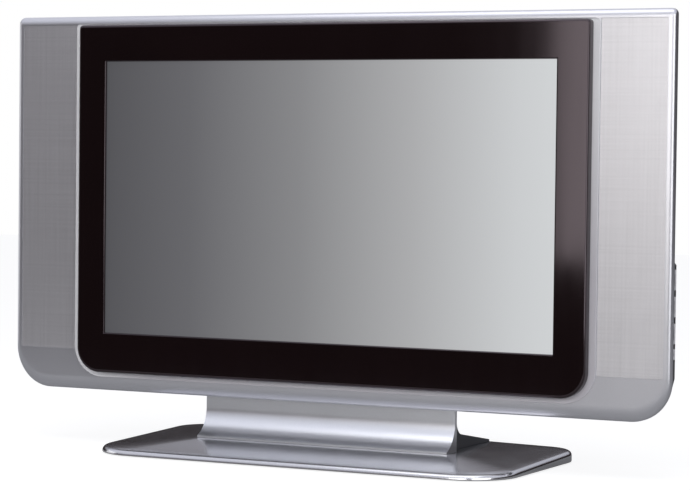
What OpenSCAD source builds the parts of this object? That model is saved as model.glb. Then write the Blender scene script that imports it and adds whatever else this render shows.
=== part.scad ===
// Widescreen LCD television on a table stand, in millimetres.
// X runs along the screen, +Y points to the back and +Z up. The origin is on the table under the stand.

/* [Screen] */
// Width of the lit picture
screen_w = 575.8; // [540:0.1:620]
// Height of the lit picture
screen_h = 323.7; // [300:0.1:350]
// Border of the display module round the picture
lcd_border = 24.8; // [20:0.1:28]
// Number of backlight tubes
lamp_count = 12; // [8:1:16]

/* [Black surround] */
// Border of the surround at each side of the picture
surround_side = 38.4; // [37:0.1:46]
// Border of the surround above the picture
surround_top = 43.6; // [42:0.1:56]
// Border of the surround below the picture
surround_bottom = 48; // [44:0.1:60]
// How far the surround stands in front of the cabinet
surround_proud = 11; // [9:0.5:14]
// Front wall of the surround
surround_t = 2.5; // [2:0.1:3]
// Radius of the surround's lower corners
surround_r = 30; // [16:1:40]

/* [Silver cabinet] */
// Width of the cabinet at each side of the surround
panel_w = 93.4; // [90:0.1:110]
// Height of the strip above the surround
strip_top = 11; // [9:0.5:16]
// Height of the band below the surround
strip_bottom = 22.4; // [18:0.1:34]
// Radius of the cabinet's lower corners
cabinet_r = 46; // [30:1:56]
// Radius of the cabinet's upper corners
cabinet_top_r = 6.5; // [6:0.5:12]
// Depth of the cabinet's rounded front edge
edge_d = 6; // [3:0.5:6]
// Width of that round along the sides
edge_r = 3.5; // [2:0.5:6]
// Height of that round along the upper edge
edge_top = 9; // [4:0.5:9.5]
// Height of that round along the lower edge
edge_low = 16; // [6:0.5:17]
// Wall of the front moulding
skin_t = 3; // [2.4:0.1:3.6]
// Wall of the front moulding along its lower edge
under_t = 5; // [4.5:0.1:6]
// Depth of the cabinet's side wall
cabinet_wall_d = 11; // [10:0.5:13]
// Depth of the pocket that holds a grille
grille_recess = 3; // [2.5:0.1:4]
// Width of the lip between the surround and a grille
grille_lip = 9; // [6:0.5:12]
// Width of the rim outside a grille
grille_rim = 7.5; // [7:0.5:10]
// Height of a grille's lower edge above the cabinet's lower edge
grille_up = 48; // [44:1:80]

/* [Rear cover] */
// How far the rear cover steps in behind the cabinet
cover_inset = 9; // [6:0.5:9]
// Wall of the rear cover
cover_t = 2.5; // [2:0.1:3]
// Depth of the cover's outer step behind the surround's face
skirt_d = 58; // [57:0.5:64]
// Depth of the cover's middle behind the surround's face
hump_d = 110; // [106:1:130]
// Distance from the cabinet's side to the deep middle
hump_side = 80; // [70:1:84]
// Distance from the cabinet's top to the deep middle
hump_top = 43; // [38:1:50]
// Slope of the sides of the deep middle
hump_slope = 15; // [8:1:20]
// Height of the socket ledge above the cabinet's lower edge
ledge_up = 83; // [80:1:90]
// Number of slots in a row of vents
vent_count = 30; // [10:2:36]

/* [Wall fixing] */
// Sideways spacing of the wall fixing holes
vesa_w = 200; // [200:1:201]
// Upright spacing of the wall fixing holes
vesa_h = 100; // [100:1:101]
// Radius of a wall fixing hole
vesa_hole_r = 2; // [1.9:0.05:2.1]

/* [Side keys] */
// Height of the key housing
pod_h = 140; // [138:1:150]
// Height of the key housing above the cabinet's lower edge
pod_up = 35; // [33:1:42]
// Length of a rocker key
key_len = 22.6; // [20:0.1:23]
// Length of the power key
power_len = 12; // [10:0.1:12.5]
// Distance from one rocker key to the next
key_pitch = 29.3; // [29:0.1:30]
// How far the keys stand out of their housing
key_proud = 1.6; // [1.2:0.1:2]
// Turn of a rocker key each way, in degrees
rocker_turn = 3; // [2:0.5:3]
// Travel of the power key
power_travel = 0.9; // [0.6:0.1:1]

/* [Speakers] */
// Outer radius of a speaker's frame
driver_r = 38.5; // [34:0.5:38.5]
// Travel of a speaker cone each way
cone_travel = 1.5; // [0.5:0.1:2]

/* [Stand] */
// Width of the base
base_w = 522; // [480:1:600]
// Depth of the base
base_d = 252; // [240:1:300]
// Radius of the base's front corners
base_front_r = 58; // [40:1:70]
// Radius of the base's rear corners
base_rear_r = 40; // [30:1:60]
// Height of the base's rim at its front edge
rim_front = 7.4; // [7.2:0.1:9]
// Height of the base's rim at its rear edge
rim_rear = 14.7; // [12:0.1:15]
// Height of the flat top under the neck
plateau_h = 16.8; // [16:0.1:20]
// Height of the rubber feet below the base
foot_h = 1.2; // [1:0.1:2]
// Distance of the surround's face behind the base's front edge
face_setback = 86; // [80:1:95]
// Height of the cabinet's lower edge above the table
stand_h = 65; // [64:1:70]
// Width of the neck's front cover
neck_w = 322; // [300:1:340]
// Distance of the neck's front behind the surround's face
neck_back = 27; // [26:0.5:28]
// Radius of the hollow curve at the neck's front foot
neck_curve = 34; // [30:1:38]
// Radius of the hollow curve between the neck's rear and its foot
rear_curve = 16; // [12:1:20]
// Height of the neck's rear foot where it leaves the neck
rear_foot_h = 35.2; // [30:0.2:40]

/* [Hidden] */
$fn = 64;
// Gap left between two mouldings that lie against each other
seam = 0.3;
// Gap left between thin sheets in the display stack
sheet_gap = 0.1;
// Overshoot of a cutting shape
over = 1;

// Levels in height
surround_h = surround_bottom + screen_h + surround_top;
cab_h = strip_bottom + surround_h + strip_top;
z_cab = stand_h;
z_top = z_cab + cab_h;
z_surround = z_cab + strip_bottom;
z_screen = z_surround + surround_bottom;
z_mid = z_screen + screen_h / 2;
z_cover = z_cab + cover_inset;
z_ledge = z_cab + ledge_up;

// Widths
surround_w = screen_w + 2 * surround_side;
cab_w = surround_w + 2 * panel_w;
cover_w = cab_w - 2 * cover_inset;
cover_h = cab_h - 2 * cover_inset;
lcd_w = screen_w + 2 * lcd_border;
lcd_h = screen_h + 2 * lcd_border;
window_gap = 1.2;
hump_w = cab_w - 2 * hump_side;
z_hump_top = z_top - hump_top;

// Levels in depth
y_face = -base_d / 2 + face_setback;
y_rim = y_face + surround_proud;
y_skin = y_rim + skin_t;
y_pocket = y_rim + grille_recess;
y_floor = y_pocket + skin_t;
y_wall_end = y_rim + cabinet_wall_d;
y_cover = y_wall_end + seam;
y_skirt = y_face + skirt_d;
y_hump = y_face + hump_d;
y_lcd = y_face + surround_t + seam;
lcd_sheet = 1;
glass_t = 2.2;
y_glass = y_lcd + lcd_sheet + sheet_gap;
mid_t = 4.8;
y_mid = y_glass + glass_t + sheet_gap;
sheets_t = 3;
y_sheets = y_mid + mid_t + sheet_gap;
tray_d = 17;
y_tray = y_sheets + sheets_t + sheet_gap;
y_tray_back = y_tray + tray_d;
chassis_t = 1.5;
y_chassis = y_tray_back + 14.8;
y_chassis_back = y_chassis + chassis_t;
pcb_t = 1.6;
y_pcb = max(y_chassis_back + 12.5, y_skirt + 2);
y_parts = y_pcb + pcb_t;

// Fixing posts of the cabinet
boss_r = 4.5;
boss_bore_r = 1.6;
screw_r = 1.5;
boss_out = window_gap + boss_r + seam;
x_boss = lcd_w / 2 + boss_out;
z_boss_top = z_mid + lcd_h / 2 + boss_out;
z_boss_low = z_mid - lcd_h / 2 - boss_out;
chassis_boss_z = [z_mid - 130, z_mid, z_mid + 130];
x_far = cab_w / 2 - 30;
cover_screws = [[-x_far, z_boss_top], [-cab_w * 0.24, z_boss_top], [0, z_boss_top],
    [cab_w * 0.24, z_boss_top], [x_far, z_boss_top], [-x_far, z_boss_low],
    [-cab_w * 0.28, z_boss_low], [cab_w * 0.28, z_boss_low], [x_far, z_boss_low]];
skirt_wall = 3;
x_trim = (lcd_w / 2 + window_gap + surround_w / 2 - skirt_wall) / 2;
z_trim_top = (z_mid + lcd_h / 2 + window_gap + z_surround + surround_h - skirt_wall) / 2;
z_trim_low = (z_mid - lcd_h / 2 - window_gap + z_surround + skirt_wall) / 2;
trim_r = 3;
trim_screws = [[-x_trim, z_mid - 65], [-x_trim, z_mid + 65], [x_trim, z_mid - 65],
    [x_trim, z_mid + 65], [-100, z_trim_top], [100, z_trim_top], [-100, z_trim_low],
    [100, z_trim_low]];

// Lap joint of cabinet and cover
lip_t = 2;
lip_w = cover_w - 2 * cover_t - 2 * seam;
lip_h = cover_h - 2 * cover_t - 2 * seam;
lip_d = 8;

// Speaker column
x_box_in = x_boss + boss_r + 1.5;
x_box_out = lip_w / 2 - lip_t - 0.7;
x_driver = (x_box_in + x_box_out) / 2;
chamfer = 10;
chamfer_top = 6;
y_box = y_floor + seam;
y_box_back = cover_w / 2 + y_skirt - 2 * cover_t - chamfer - x_box_out - 0.8;
z_box = z_cab + pod_up + pod_h + 12;
z_box_top = z_boss_top - boss_r - 3;
z_driver = (z_box + z_box_top) / 2;
box_t = 2.5;
baffle_t = 5;
rebate = 2.2;
frame_r = min(driver_r, (x_box_out - x_box_in) / 2 - 1.4);
frame_t = 2;
cone_r = frame_r - 8;
cap_r = 9;
cone_depth = 11;
y_frame = y_box + rebate - frame_t;
y_magnet_back = y_box_back - box_t - 1;
magnet_r = frame_r * 0.62;
magnet_t = 8;

// Circuit boards
x_pcb_in = vesa_w / 2 + 14;
x_pcb_out = hump_w / 2 - hump_slope - cover_t - 14;
z_main = z_ledge + cover_t + 2.5;
main_h = 180;
z_power = z_main + 27;
power_h = 220;
socket_top = 24;
plate_gap = 0.4;
plate_t = 1;
z_plate = z_ledge + cover_t + seam;
scart_w = 47;
scart_d = 13;
video_w = 27;
video_d = 12;
phono_w = 14;
phono_d = 38;
tuner_w = 36;
tuner_d = 20;
socket_gap = 4.5;
x_phono = -x_pcb_in - phono_w / 2 - socket_gap + 0.8;
x_video = x_phono - (phono_w + video_w) / 2 - socket_gap;
x_scart_2 = x_video - (video_w + scart_w) / 2 - socket_gap;
x_scart_1 = x_scart_2 - scart_w - socket_gap - 0.5;
x_tuner = x_scart_1 - (scart_w + tuner_w) / 2 - socket_gap + 1;
x_row_end = min(x_tuner - 6.5, -x_pcb_out - 1);
x_inlet = x_pcb_out - 46;
inlet_w = 27;
inlet_d = 20;
y_inlet = y_parts + 16;
board_fix = [[-x_pcb_in - 6, z_main + 40], [-x_pcb_in - 6, z_main + main_h - 6],
    [-x_pcb_out + 6, z_main + 75], [-x_pcb_out + 6, z_main + main_h - 6],
    [x_pcb_in + 6, z_power + 6], [x_pcb_in + 6, z_power + power_h - 6],
    [x_pcb_out - 6, z_power + 6], [x_pcb_out - 6, z_power + power_h - 6]];
standoff_r = 3.5;

// Chassis and stand bracket
chassis_half = max(lcd_w / 2 - 13, x_pcb_out);
z_chassis = z_mid - lcd_h / 2 - 10;
z_chassis_low = z_boss_low + boss_r + 2;
z_chassis_top = z_mid + lcd_h / 2 - 14;
bracket_half = 110;
bracket_t = 2;
y_bracket = y_chassis_back + 0.2;
z_bracket_top = z_chassis + 46;
bracket_fix = [[-85, z_chassis + 12], [85, z_chassis + 12], [-85, z_chassis + 34],
    [85, z_chassis + 34]];

// Key housing
x_cover = cover_w / 2;
x_pod = cab_w / 2 - 5.2;
y_pod = y_face + 34;
z_pod = z_cab + pod_up;
z_pod_mid = z_pod + pod_h / 2;
pod_t = 2.2;
pod_half = 10.5;
pod_body = 8.6;
pod_wall = 1.6;
pod_end = 4;
pod_inner = pod_body - pod_wall;
x_key_pcb = x_pod - 16.5;
key_half = 5;
key_gap = 0.7;
key_flange = 1.4;
axle_r = 1.1;
x_axle = x_pod - 5.5;
z_key_1 = z_pod + pod_h - 20;
z_key_2 = z_key_1 - key_pitch;
z_key_3 = z_key_2 - key_pitch;
z_key_4 = z_key_3 - 22.4;
nub_z = 8;
switch_h = 3.5;
plunger_h = 1.5;
x_plunger = x_key_pcb + switch_h + plunger_h;

// Stand
z_steel = foot_h + 1;
base_t = 2.5;
steel_t = rim_front - base_t - z_steel - 0.7;
z_steel_top = z_steel + steel_t;
round_r = 3.4;
rim_tilt = atan((rim_rear - rim_front) / base_d);
neck_half = neck_w / 2;
neck_t = 3;
neck_depth = 5;
y_neck = y_face + neck_back;
z_neck = plateau_h + 0.2;
z_neck_top = z_cover - seam;
y_foot = y_neck - 22;
rear_half = neck_half - 11;
rear_t = 2.5;
y_rear = y_skirt - 1;
y_rear_foot = base_d / 2 - 14;
rear_fall = atan((rear_foot_h - z_neck - rear_t) / (y_rear_foot - y_rear));
y_web_clear = 2;
flange_t = 2;
y_flange = y_neck - 6;
feet = [[-base_w / 2 + 50, -base_d / 2 + 42], [base_w / 2 - 50, -base_d / 2 + 42],
    [-base_w / 2 + 50, base_d / 2 - 36], [base_w / 2 - 50, base_d / 2 - 36],
    [0, -base_d / 2 + 26], [0, base_d / 2 - 24]];
base_fix = [[-base_w / 2 + 22, 10], [base_w / 2 - 22, 10], [-120, -base_d / 2 + 18],
    [120, -base_d / 2 + 18], [-120, base_d / 2 - 18], [120, base_d / 2 - 18]];
stand_fix = [[-90, y_flange + 8], [90, y_flange + 8], [-90, y_bracket - 7], [90, y_bracket - 7]];
neck_fix = [[-neck_half + 31, z_neck_top - 12], [neck_half - 31, z_neck_top - 12]];

// Finishes
silver = [0.78, 0.79, 0.81];
black = [0.06, 0.05, 0.05];
dark = [0.18, 0.18, 0.19];
steel = [0.66, 0.68, 0.7];
board = [0.1, 0.36, 0.2];
white = [0.92, 0.92, 0.9];

// Extrudes an outline drawn in X and Z from one depth to another
module along_y(y0, y1) {
    translate([0, y1, 0])
        rotate([90, 0, 0])
            linear_extrude(y1 - y0)
                children();
}

// Extrudes an outline drawn in Y and Z from one side to another
module along_x(x0, x1) {
    translate([x0, 0, 0])
        rotate([90, 0, 90])
            linear_extrude(x1 - x0)
                children();
}

// Box from its low corner to its high corner
module block(a, b) {
    translate(a)
        cube(b - a);
}

// Rod along Y
module rod_y(x, z, y0, y1, r) {
    translate([x, y0, z])
        rotate([-90, 0, 0])
            cylinder(r = r, h = y1 - y0);
}

// Upright rod
module rod_z(x, y, z0, z1, r) {
    translate([x, y, z0])
        cylinder(r = r, h = z1 - z0);
}

// Outline with its own radius at the upper and the lower corners, standing on zero
module outline(w, h, r_top, r_low) {
    translate([-w / 2, r_low])
        square([w, h - r_low - r_top]);
    translate([-w / 2 + r_low, 0])
        square([w - 2 * r_low, r_low + over]);
    translate([-w / 2 + r_top, h - r_top - over])
        square([w - 2 * r_top, r_top + over]);
    for (side = [-1, 1]) {
        translate([side * (w / 2 - r_low), r_low])
            circle(r_low);
        translate([side * (w / 2 - r_top), h - r_top])
            circle(r_top);
    }
}

// Moulding with a rounded front edge, as a skin over slices that step round a quarter ellipse.
// The round has the depth d, the width r at the sides and a height of its own above and below.
module soft_front(w, h, r_top, r_low, z0, y0, y1, d, r, r_over, r_under) {
    hull() {
        for (a = [0 : 18 : 90]) {
            left = 1 - sin(a);
            inset = r * left;
            high = h - (r_over + r_under) * left;
            y = y0 + d * (1 - cos(a));
            translate([0, 0, z0 + r_under * left])
                along_y(y, y + 0.05)
                    outline(w - 2 * inset, high, max(r_top - inset, 0.5), r_low - inset, $fn = 32);
        }
        translate([0, 0, z0])
            along_y(y1 - 0.05, y1)
                outline(w, h, r_top, r_low, $fn = 32);
    }
}

// Ring of constant wall inside an outline
module ring(w, h, r_top, r_low, t) {
    difference() {
        outline(w, h, r_top, r_low);
        translate([0, t])
            outline(w - 2 * t, h - 2 * t, max(r_top - t, 0.5), max(r_low - t, 0.5));
    }
}

// Cylinder head screw lying along Y, its head towards the back
module screw_y(x, z, y_head, length, r, head_r, head_h) {
    rod_y(x, z, y_head - length, y_head, r);
    difference() {
        rod_y(x, z, y_head, y_head + head_h, head_r);
        translate([x, y_head + head_h, z])
            rotate([90, 0, 0])
                translate([0, 0, -0.1])
                    for (turn = [0, 90])
                        rotate([0, 0, turn])
                            translate([-head_r * 0.6, -head_r * 0.12, 0])
                                cube([head_r * 1.2, head_r * 0.24, head_h * 0.5]);
    }
}

// Pan head screw standing on the table side, its head downwards
module screw_z(x, y, z_head, length, r, head_r, head_h) {
    rod_z(x, y, z_head, z_head + length, r);
    rod_z(x, y, z_head - head_h, z_head, head_r);
}

// Grille pocket on one side
module grille_zone(side, y0, y1, grow) {
    x0 = surround_w / 2 + grille_lip - grow;
    x1 = cab_w / 2 - grille_rim + grow;
    z0 = z_cab + grille_up - grow;
    z1 = z_top - strip_top + 1 + grow;
    lo = side > 0 ? x0 : -x1;
    block([lo, y0, z0], [lo + x1 - x0, y1, z1]);
}

// Silver front moulding with its window, grille pockets, lap lip and fixing posts
module front_cabinet() {
    color(silver)
        difference() {
            union() {
                difference() {
                    soft_front(cab_w, cab_h, cabinet_top_r, cabinet_r, z_cab, y_rim, y_wall_end, edge_d,
                        edge_r, edge_top, edge_low);
                    translate([0, 0, z_cab + under_t])
                        along_y(y_skin, y_wall_end + over)
                            outline(cab_w - 2 * skin_t, cab_h - skin_t - under_t, cabinet_top_r - skin_t,
                                cabinet_r - skin_t);
                }
                for (side = [-1, 1])
                    grille_zone(side, y_skin - over, y_floor, skin_t);
                cabinet_lip();
                for (p = cover_screws)
                    rod_y(p[0], p[1], y_skin - over, y_skirt - cover_t - seam, boss_r);
                for (side = [-1, 1])
                    for (z = chassis_boss_z)
                        rod_y(side * x_boss, z, y_skin - over, y_chassis, boss_r);
            }
            translate([0, 0, z_mid - lcd_h / 2 - window_gap])
                along_y(y_rim - over, y_floor + over)
                    translate([-lcd_w / 2 - window_gap, 0])
                        square([lcd_w + 2 * window_gap, lcd_h + 2 * window_gap]);
            for (side = [-1, 1]) {
                grille_zone(side, y_rim - over, y_pocket, 0);
                sound_opening(side);
            }
            for (p = cover_screws)
                rod_y(p[0], p[1], y_skirt - cover_t - 20, y_skirt, boss_bore_r);
            for (side = [-1, 1])
                for (z = chassis_boss_z)
                    rod_y(side * x_boss, z, y_chassis - 14, y_chassis + over, boss_bore_r);
            for (p = trim_screws)
                rod_y(p[0], p[1], y_rim - over, y_skin + over, 1.6);
            block([x_key_pcb - 4, y_wall_end, z_pod - 3],
                [cab_w, y_cover + lip_d + over, z_pod + pod_h + 3]);
        }
}

// Lip inside the seam that the rear cover slides over
module cabinet_lip() {
    translate([0, 0, z_cover + cover_t + seam])
        along_y(y_skin - over, y_cover + lip_d)
            ring(lip_w, lip_h, 4, cabinet_r - cover_inset - cover_t - seam, lip_t);
}

// Hole behind a grille, in front of the speaker
module sound_opening(side) {
    x0 = max(x_driver - frame_r + 2, surround_w / 2 + grille_lip + 3);
    x1 = min(x_driver + frame_r - 2, cab_w / 2 - grille_rim - 3);
    lo = side > 0 ? x0 : -x1;
    for (bar = [-1, 0, 1])
        block([lo, y_pocket - over, z_driver + bar * 27 - 12],
            [lo + x1 - x0, y_floor + over, z_driver + bar * 27 + 12]);
}

// Gloss black surround with a bevelled picture opening and screw posts
module screen_surround() {
    bevel = surround_t;
    color(black)
        difference() {
            union() {
                difference() {
                    soft_front(surround_w, surround_h, 4.5, surround_r, z_surround, y_face, y_rim, 3,
                        3, 3, 3);
                    translate([0, 0, z_surround + skirt_wall])
                        along_y(y_face + surround_t, y_rim + over)
                            outline(surround_w - 2 * skirt_wall, surround_h - 2 * skirt_wall, 1.5,
                                surround_r - skirt_wall);
                }
                for (p = trim_screws)
                    rod_y(p[0], p[1], y_face + surround_t / 2, y_rim, trim_r);
            }
            intersection() {
                linear_extrude(z_top + 10)
                    polygon([[-screen_w / 2 - bevel - over, y_face - over],
                        [screen_w / 2 + bevel + over, y_face - over],
                        [screen_w / 2, y_face + bevel], [screen_w / 2, y_face + bevel + over],
                        [-screen_w / 2, y_face + bevel + over], [-screen_w / 2, y_face + bevel]]);
                along_x(-cab_w / 2, cab_w / 2)
                    polygon([[y_face - over, z_screen - bevel - over], [y_face + bevel, z_screen],
                        [y_face + bevel + over, z_screen], [y_face + bevel + over, z_screen + screen_h],
                        [y_face + bevel, z_screen + screen_h],
                        [y_face - over, z_screen + screen_h + bevel + over]]);
            }
            for (p = trim_screws)
                rod_y(p[0], p[1], y_rim - 7, y_rim + over, 1.25);
        }
}

// Screws that hold the surround from behind the cabinet's skin
module surround_screws() {
    color(steel)
        for (p = trim_screws)
            screw_y(p[0], p[1], y_skin, skin_t + 6, 1.2, 2.6, 1.6);
}

// Formed speaker grille, a shallow tray with its edges folded back onto the pocket floor
module grille(side) {
    sheet = 1;
    y_sheet = y_rim + 0.8;
    color(silver)
        difference() {
            grille_zone(side, y_sheet, y_pocket, -seam);
            grille_zone(side, y_sheet + sheet, y_pocket + over, -seam - sheet);
        }
}

module grille_left() {
    grille(-1);
}

module grille_right() {
    grille(1);
}

// Solid of the rear cover, drawn once for its outside and once for its inside
module cover_form(t, y_open) {
    half = cover_w / 2 - t;
    y_step = y_skirt - t;
    y_back = y_hump - t;
    low = hump_w / 2 - t;
    intersection() {
        translate([0, 0, z_cover + t])
            along_y(y_open, y_step)
                outline(cover_w - 2 * t, cover_h - 2 * t, max(5 - t, 1), cabinet_r - cover_inset - t);
        linear_extrude(z_top + 10)
            polygon([[-half, y_open - over], [half, y_open - over], [half, y_step - chamfer],
                [half - chamfer, y_step], [-half + chamfer, y_step], [-half, y_step - chamfer]]);
        along_x(-cab_w, cab_w)
            polygon([[y_open - over, 0], [y_step, 0], [y_step, z_top - cover_inset - t - chamfer_top],
                [y_step - chamfer_top, z_top - cover_inset - t], [y_open - over,
                    z_top - cover_inset - t]]);
    }
    intersection() {
        linear_extrude(z_top + 10)
            polygon([[-low, y_skirt - 6], [low, y_skirt - 6], [low, y_step], [low - hump_slope, y_back],
                [-low + hump_slope, y_back], [-low, y_step]]);
        along_x(-cab_w, cab_w)
            polygon([[y_skirt - 6, z_ledge + t], [y_back, z_ledge + t],
                [y_back, z_hump_top - t - hump_slope],
                [y_step, z_hump_top - t], [y_skirt - 6, z_hump_top - t]]);
    }
}

// Rear moulding with its stepped back, vents, socket ledge and openings
module rear_cover() {
    vent_span = hump_w - 2 * hump_slope - 70;
    vent_pitch = vent_span / (vent_count - 1);
    color(dark)
        difference() {
            cover_form(0, y_cover);
            cover_form(cover_t, y_cover - over);
            for (i = [0 : vent_count - 1]) {
                x = -vent_span / 2 + i * vent_pitch;
                block([x - 2, y_hump - cover_t - over, z_hump_top - hump_slope - 52],
                    [x + 2, y_hump + over, z_hump_top - hump_slope - 18]);
                block([x - 2, y_hump - cover_t - over, z_ledge + 14],
                    [x + 2, y_hump + over, z_ledge + 40]);
            }
            for (p = cover_screws)
                rod_y(p[0], p[1], y_skirt - cover_t - over, y_skirt + over, 2.2);
            for (sx = [-1, 1])
                for (sz = [-1, 1])
                    rod_y(sx * vesa_w / 2, z_mid + sz * vesa_h / 2, y_hump - cover_t - over, y_hump + over,
                        7.4);
            block([x_row_end, y_pcb + 0.5, z_ledge - over],
                [-x_pcb_in, y_parts + phono_d + 2, z_ledge + cover_t + over]);
            block([x_inlet - inlet_w / 2 - plate_gap, y_inlet - inlet_d / 2 - plate_gap, z_ledge - over],
                [x_inlet + inlet_w / 2 + plate_gap, y_inlet + inlet_d / 2 + plate_gap,
                    z_ledge + cover_t + over]);
            block([-bracket_half - 1.5, y_bracket - 1, z_cover - over],
                [bracket_half + 1.5, y_bracket + bracket_t + 1, z_cover + cover_t + over]);
            block([x_cover - cover_t - over, y_pod - pod_body - plate_gap, z_pod + pod_end - plate_gap],
                [x_cover + over, y_pod + pod_body + plate_gap, z_pod + pod_h - pod_end + plate_gap]);
        }
}

// Screws that close the rear cover
module rear_cover_screws() {
    color(steel)
        for (p = cover_screws)
            screw_y(p[0], p[1], y_skirt, 17, screw_r, 4, 2.4);
}

// Steel front frame of the display module
module lcd_frame() {
    opening = 3;
    color(steel)
        difference() {
            block([-lcd_w / 2, y_lcd, z_mid - lcd_h / 2], [lcd_w / 2, y_tray + 2, z_mid + lcd_h / 2]);
            block([-lcd_w / 2 + lcd_sheet, y_lcd + lcd_sheet, z_mid - lcd_h / 2 + lcd_sheet],
                [lcd_w / 2 - lcd_sheet, y_tray + 3, z_mid + lcd_h / 2 - lcd_sheet]);
            block([-screen_w / 2 - opening, y_lcd - over, z_screen - opening],
                [screen_w / 2 + opening, y_lcd + lcd_sheet + over, z_screen + screen_h + opening]);
        }
}

// Plate centred on the picture
module centred_plate(w, h, y0, y1) {
    block([-w / 2, y0, z_mid - h / 2], [w / 2, y1, z_mid + h / 2]);
}

// Liquid crystal glass
module lcd_glass() {
    color([0.35, 0.36, 0.38])
        centred_plate(screen_w + 24, screen_h + 24, y_glass, y_glass + glass_t);
}

// Moulded frame that carries the glass
module lcd_mid_frame() {
    color(dark)
        difference() {
            centred_plate(lcd_w - 2 * lcd_sheet - 1, lcd_h - 2 * lcd_sheet - 1, y_mid, y_mid + mid_t);
            centred_plate(screen_w + 8, screen_h + 8, y_mid - over, y_mid + mid_t + over);
        }
}

// Diffuser plate and films
module optical_sheets() {
    color(white)
        centred_plate(screen_w + 32, screen_h + 32, y_sheets, y_sheets + sheets_t);
}

// Steel tray of the backlight with its flange and board posts
module backlight_tray() {
    color(steel)
        difference() {
            union() {
                centred_plate(lcd_w - 2 * lcd_sheet - 1, lcd_h - 2 * lcd_sheet - 1, y_tray, y_tray + 1);
                centred_plate(screen_w + 26, screen_h + 26, y_tray, y_tray_back);
                for (z = [z_mid - driver_h / 2 + 6, z_mid + driver_h / 2 - 26])
                    for (x = [x_drive - 22, x_drive + 22])
                        rod_y(x, z, y_tray_back - 0.5, y_tray_back + 2, 3);
                for (x = [-80, 80])
                    rod_y(x, z_mid + screen_h / 2 - 20, y_tray_back - 0.5, y_tray_back + 2, 3);
            }
            centred_plate(screen_w + 24, screen_h + 24, y_tray - over, y_tray_back - 1);
        }
}

// Height of one backlight tube
function lamp_z(i) = z_mid - screen_h / 2 + 14 + i * (screen_h - 28) / (lamp_count - 1);

y_lamp = y_tray + 8.3;
lamp_half = screen_w / 2 + 10;
driver_h = 252;
x_drive = screen_w / 2 - 47.9;

// Moulded end blocks that hold the tubes
module lamp_holders() {
    color(white)
        for (side = [-1, 1])
            difference() {
                block([side > 0 ? screen_w / 2 - 4 : -screen_w / 2 - 11.7, y_tray + 1.3,
                        z_mid - screen_h / 2 - 11.7],
                    [side > 0 ? screen_w / 2 + 11.7 : -screen_w / 2 + 4, y_tray_back - 1.2,
                        z_mid + screen_h / 2 + 11.7]);
                for (i = [0 : lamp_count - 1])
                    translate([-screen_w, y_lamp, lamp_z(i)])
                        rotate([0, 90, 0])
                            cylinder(r = 1.8, h = 2 * screen_w);
            }
}

// Cold cathode tubes
module backlight_lamps() {
    color(white)
        for (i = [0 : lamp_count - 1])
            translate([-lamp_half, y_lamp, lamp_z(i)])
                rotate([0, 90, 0])
                    cylinder(r = 1.7, h = 2 * lamp_half);
}

// Board that drives the tubes, with its row of transformers
module inverter_board() {
    color(board) {
        block([x_drive - 28, y_tray_back + 2, z_mid - driver_h / 2],
            [x_drive + 28, y_tray_back + 2 + pcb_t, z_mid + driver_h / 2]);
        for (i = [0 : 5])
            block([x_drive - 16, y_tray_back + 2 + pcb_t - 0.2, z_mid - 112 + i * 40],
                [x_drive + 16, y_tray_back + 12, z_mid - 88 + i * 40]);
    }
}

// Timing board of the glass
module timing_board() {
    z = z_mid + screen_h / 2 - 20;
    color(board) {
        block([-92, y_tray_back + 2, z - 18], [92, y_tray_back + 2 + pcb_t, z + 18]);
        block([-14, y_tray_back + 2, z - 14], [14, y_tray_back + 6, z + 14]);
        block([30, y_tray_back + 2, z - 12], [60, y_tray_back + 7, z - 5]);
    }
}

// Steel plate that carries the boards, the wall fixing posts and the stand bracket
module chassis_plate() {
    color(steel)
        difference() {
            union() {
                block([-chassis_half, y_chassis, z_chassis_low],
                    [chassis_half, y_chassis_back, z_chassis_top]);
                block([-bracket_half - 4, y_chassis, z_chassis],
                    [bracket_half + 4, y_chassis_back, z_chassis_low + over]);
                for (z = chassis_boss_z)
                    block([-x_boss - 5, y_chassis, z - 12], [x_boss + 5, y_chassis_back, z + 12]);
                for (x = [-160, 160])
                    for (z = [z_mid - 105, z_mid + 105])
                        rod_y(x, z, y_tray_back + 0.2, y_chassis + 0.5, 6);
                for (sx = [-1, 1])
                    for (sz = [-1, 1])
                        rod_y(sx * vesa_w / 2, z_mid + sz * vesa_h / 2, y_chassis, y_hump, 7);
                for (p = board_fix)
                    rod_y(p[0], p[1], y_chassis + 0.5, y_pcb, standoff_r);
            }
            for (sx = [-1, 1])
                for (sz = [-1, 1])
                    rod_y(sx * vesa_w / 2, z_mid + sz * vesa_h / 2, y_hump - 20, y_hump + over,
                        vesa_hole_r);
            for (p = board_fix)
                rod_y(p[0], p[1], y_pcb - 8, y_pcb + over, 1.25);
            for (side = [-1, 1])
                for (z = chassis_boss_z)
                    rod_y(side * x_boss, z, y_chassis - over, y_chassis_back + over, 1.9);
            for (p = bracket_fix)
                rod_y(p[0], p[1], y_chassis - over, y_chassis_back + over, 2.55);
        }
}

// Screws of the chassis plate
module chassis_screws() {
    color(steel)
        for (side = [-1, 1])
            for (z = chassis_boss_z)
                screw_y(side * x_boss, z, y_chassis_back, 12, screw_r, 3.2, 2);
}

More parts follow.
